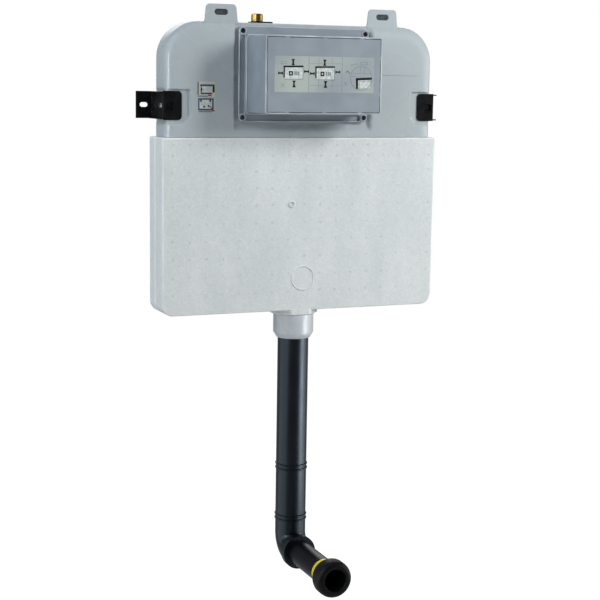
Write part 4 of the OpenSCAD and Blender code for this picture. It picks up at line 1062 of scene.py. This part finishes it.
class CISTERN_OT_stage(bpy.types.Operator):
    """Camera, white room, floor and soft lamps"""
    bl_idname = "cistern.stage"
    bl_label = "Stage"

    def execute(self, context):
        stage = context.scene.cistern_stage
        self.camera(context, stage)
        self.room(context, stage)
        self.floor(context, stage)
        # The key is small, so its own mirror image would burn out every edge that turns towards it
        self.lamp(context, "key_softbox", 43, 28, 1.75, (0.42, 0.66), stage.key_power).visible_glossy = False
        # These three stand in for bright panels that are only seen as reflections
        for name, bearing, rise, size, power in (("side_softbox", 72, -8, (1.8, 2.0), stage.side_power),
                                                 ("edge_softbox", -66, 6, (0.4, 0.7), stage.edge_power),
                                                 ("left_softbox", -96, -20, (2.8, 1.5), stage.left_power)):
            self.lamp(context, name, bearing, rise, 2.1, size, power).visible_diffuse = False
        # The strip draws the long highlight down the pipe and is flagged off from everything else
        strip = self.lamp(context, "strip_softbox", 50, -20, 2.1, (1.0, 0.5), stage.strip_power)
        strip.visible_diffuse = False
        strip.light_linking.receiver_collection = bpy.data.collections.new("lit_by_strip")
        for node in ("flush_pipe", "outlet_nut"):
            strip.light_linking.receiver_collection.objects.link(frame["nodes"][node])
        self.lamp(context, "fill_softbox", -74, 24, 2.3, (3.0, 2.6), stage.fill_power, (0.89, 0.96, 1.05))
        self.lamp(context, "low_softbox", 62, -14, 2.0, (0.9, 0.9), stage.low_power)
        self.lamp(context, "rear_softbox", 165, 20, 2.8, (2.2, 2.2), stage.rear_power)
        context.scene.view_settings.view_transform = "Standard"
        return {"FINISHED"}

    def camera(self, context, stage):
        """The camera where the photograph was taken from."""
        yaw, pitch, roll = stage.camera_yaw, stage.camera_pitch, stage.camera_roll
        look = Vector((math.sin(yaw) * math.cos(pitch), math.cos(yaw) * math.cos(pitch), -math.sin(pitch)))
        level = Vector((math.cos(yaw), -math.sin(yaw), 0))
        upright = level.cross(look)
        right = math.cos(roll) * level + math.sin(roll) * upright
        up = math.cos(roll) * upright - math.sin(roll) * level
        data = bpy.data.cameras.new("studio_camera")
        data.lens, data.sensor_width = stage.lens, 36
        camera = bpy.data.objects.new("studio_camera", data)
        context.scene.collection.objects.link(camera)
        place = Matrix((right, up, -look)).transposed().to_4x4()
        place.translation = Vector(stage.camera_place)
        camera.matrix_world = place
        context.scene.camera = camera

    def room(self, context, stage):
        """A white backdrop to the eye, through glass and in gloss, before a dim studio."""
        world = bpy.data.worlds.new("studio_room")
        world.use_nodes = True
        context.scene.world = world
        tree = world.node_tree
        path = add(tree, "LightPath").outputs
        way = add(tree, "TexCoord").outputs["Generated"]
        behind = add(tree, "SeparateXYZ", {"Vector": way}).outputs["Y"]
        backdrop = add(tree, "MapRange",
                       {"Value": behind, "From Min": -0.1, "From Max": 0.4, "To Max": stage.backdrop_gloss})
        glossy = path["Is Glossy Ray"]
        mirrored = add(tree, "Math", {0: glossy, 1: backdrop}, operation="MULTIPLY")
        seen = add(tree, "Math", {0: path["Is Camera Ray"], 1: mirrored}, operation="ADD")
        seen = add(tree, "Math", {0: seen, 1: path["Is Transmission Ray"]}, operation="ADD", use_clamp=True)
        unseen = add(tree, "MapRange",
                     {"Value": glossy, "To Min": stage.room_light, "To Max": stage.room_gloss})
        strength = add(tree, "MapRange", {"Value": seen, "To Min": unseen, "To Max": 1.0})
        fill(tree, tree.nodes["Background"], {"Color": (1, 1, 1, 1), "Strength": strength})

    def floor(self, context, stage):
        """A pale floor that the eye sees as white where no shadow falls."""
        bm = bmesh.new()
        bmesh.ops.create_grid(bm, x_segments=4, y_segments=4, size=9)
        mesh = bpy.data.meshes.new("studio_floor")
        bm.to_mesh(mesh)
        bm.free()
        floor = bpy.data.objects.new("studio_floor", mesh)
        floor.location.z = -stage.floor_depth
        context.scene.collection.objects.link(floor)
        paint = bpy.data.materials.new("matt_floor_paint")
        paint.use_nodes = True
        tree = paint.node_tree
        direct = add(tree, "LightPath").outputs["Is Camera Ray"]
        seen = add(tree, "Math", {0: direct, 1: 0.8}, operation="MULTIPLY")
        fill(tree, tree.nodes["Principled BSDF"],
             {"Base Color": linear(context.scene.cistern_colours.floor), "Roughness": 0.9,
              "Emission Color": (1, 1, 1, 1), "Emission Strength": seen})
        mesh.materials.append(paint)

    def lamp(self, context, name, bearing, rise, distance, size, power, tint=(1, 1, 1)):
        """A softbox at a bearing from the front, turned to the cistern."""
        bearing, rise = math.radians(bearing), math.radians(rise)
        target = Vector((0, -0.08, -0.2))
        level = math.cos(rise)
        way = Vector((math.sin(bearing) * level, -math.cos(bearing) * level, math.sin(rise)))
        data = bpy.data.lights.new(name, "AREA")
        data.shape = "RECTANGLE"
        data.size, data.size_y = size
        data.energy = power
        data.color = tint
        lamp = bpy.data.objects.new(name, data)
        lamp.location = target + way * distance
        lamp.rotation_euler = (-way).to_track_quat("-Z", "Y").to_euler()
        context.scene.collection.objects.link(lamp)
        return lamp


class CISTERN_PT_build(bpy.types.Panel):
    """Builds the dressed cistern step by step"""
    bl_label = "Cistern"
    bl_idname = "CISTERN_PT_build"
    bl_space_type = "VIEW_3D"
    bl_region_type = "UI"
    bl_category = "Cistern"

    def draw(self, context):
        for operator in OPERATORS:
            self.layout.operator(operator.bl_idname)


GROUPS = {"cistern_sizes": CisternSizes, "cistern_colours": CisternColours, "cistern_stage": CisternStage}
OPERATORS = (CISTERN_OT_finishes, CISTERN_OT_stage, CISTERN_OT_tank, CISTERN_OT_jacket,
             CISTERN_OT_service_box, CISTERN_OT_prints, CISTERN_OT_inlet, CISTERN_OT_brackets,
             CISTERN_OT_pipes)
CLASSES = (*GROUPS.values(), *OPERATORS, CISTERN_PT_build)


def register():
    for made in CLASSES:
        bpy.utils.register_class(made)
    for name, group in GROUPS.items():
        setattr(bpy.types.Scene, name, bpy.props.PointerProperty(type=group))


def unregister():
    for name in GROUPS:
        delattr(bpy.types.Scene, name)
    for made in reversed(CLASSES):
        bpy.utils.unregister_class(made)


def main():
    register()
    bpy.ops.cistern.finishes()
    bpy.ops.cistern.stage()
    bpy.ops.cistern.tank()
    bpy.ops.cistern.jacket()
    bpy.ops.cistern.service_box()
    bpy.ops.cistern.prints()
    bpy.ops.cistern.inlet()
    bpy.ops.cistern.brackets()
    bpy.ops.cistern.pipes()


if __name__ == "__main__":
    main()
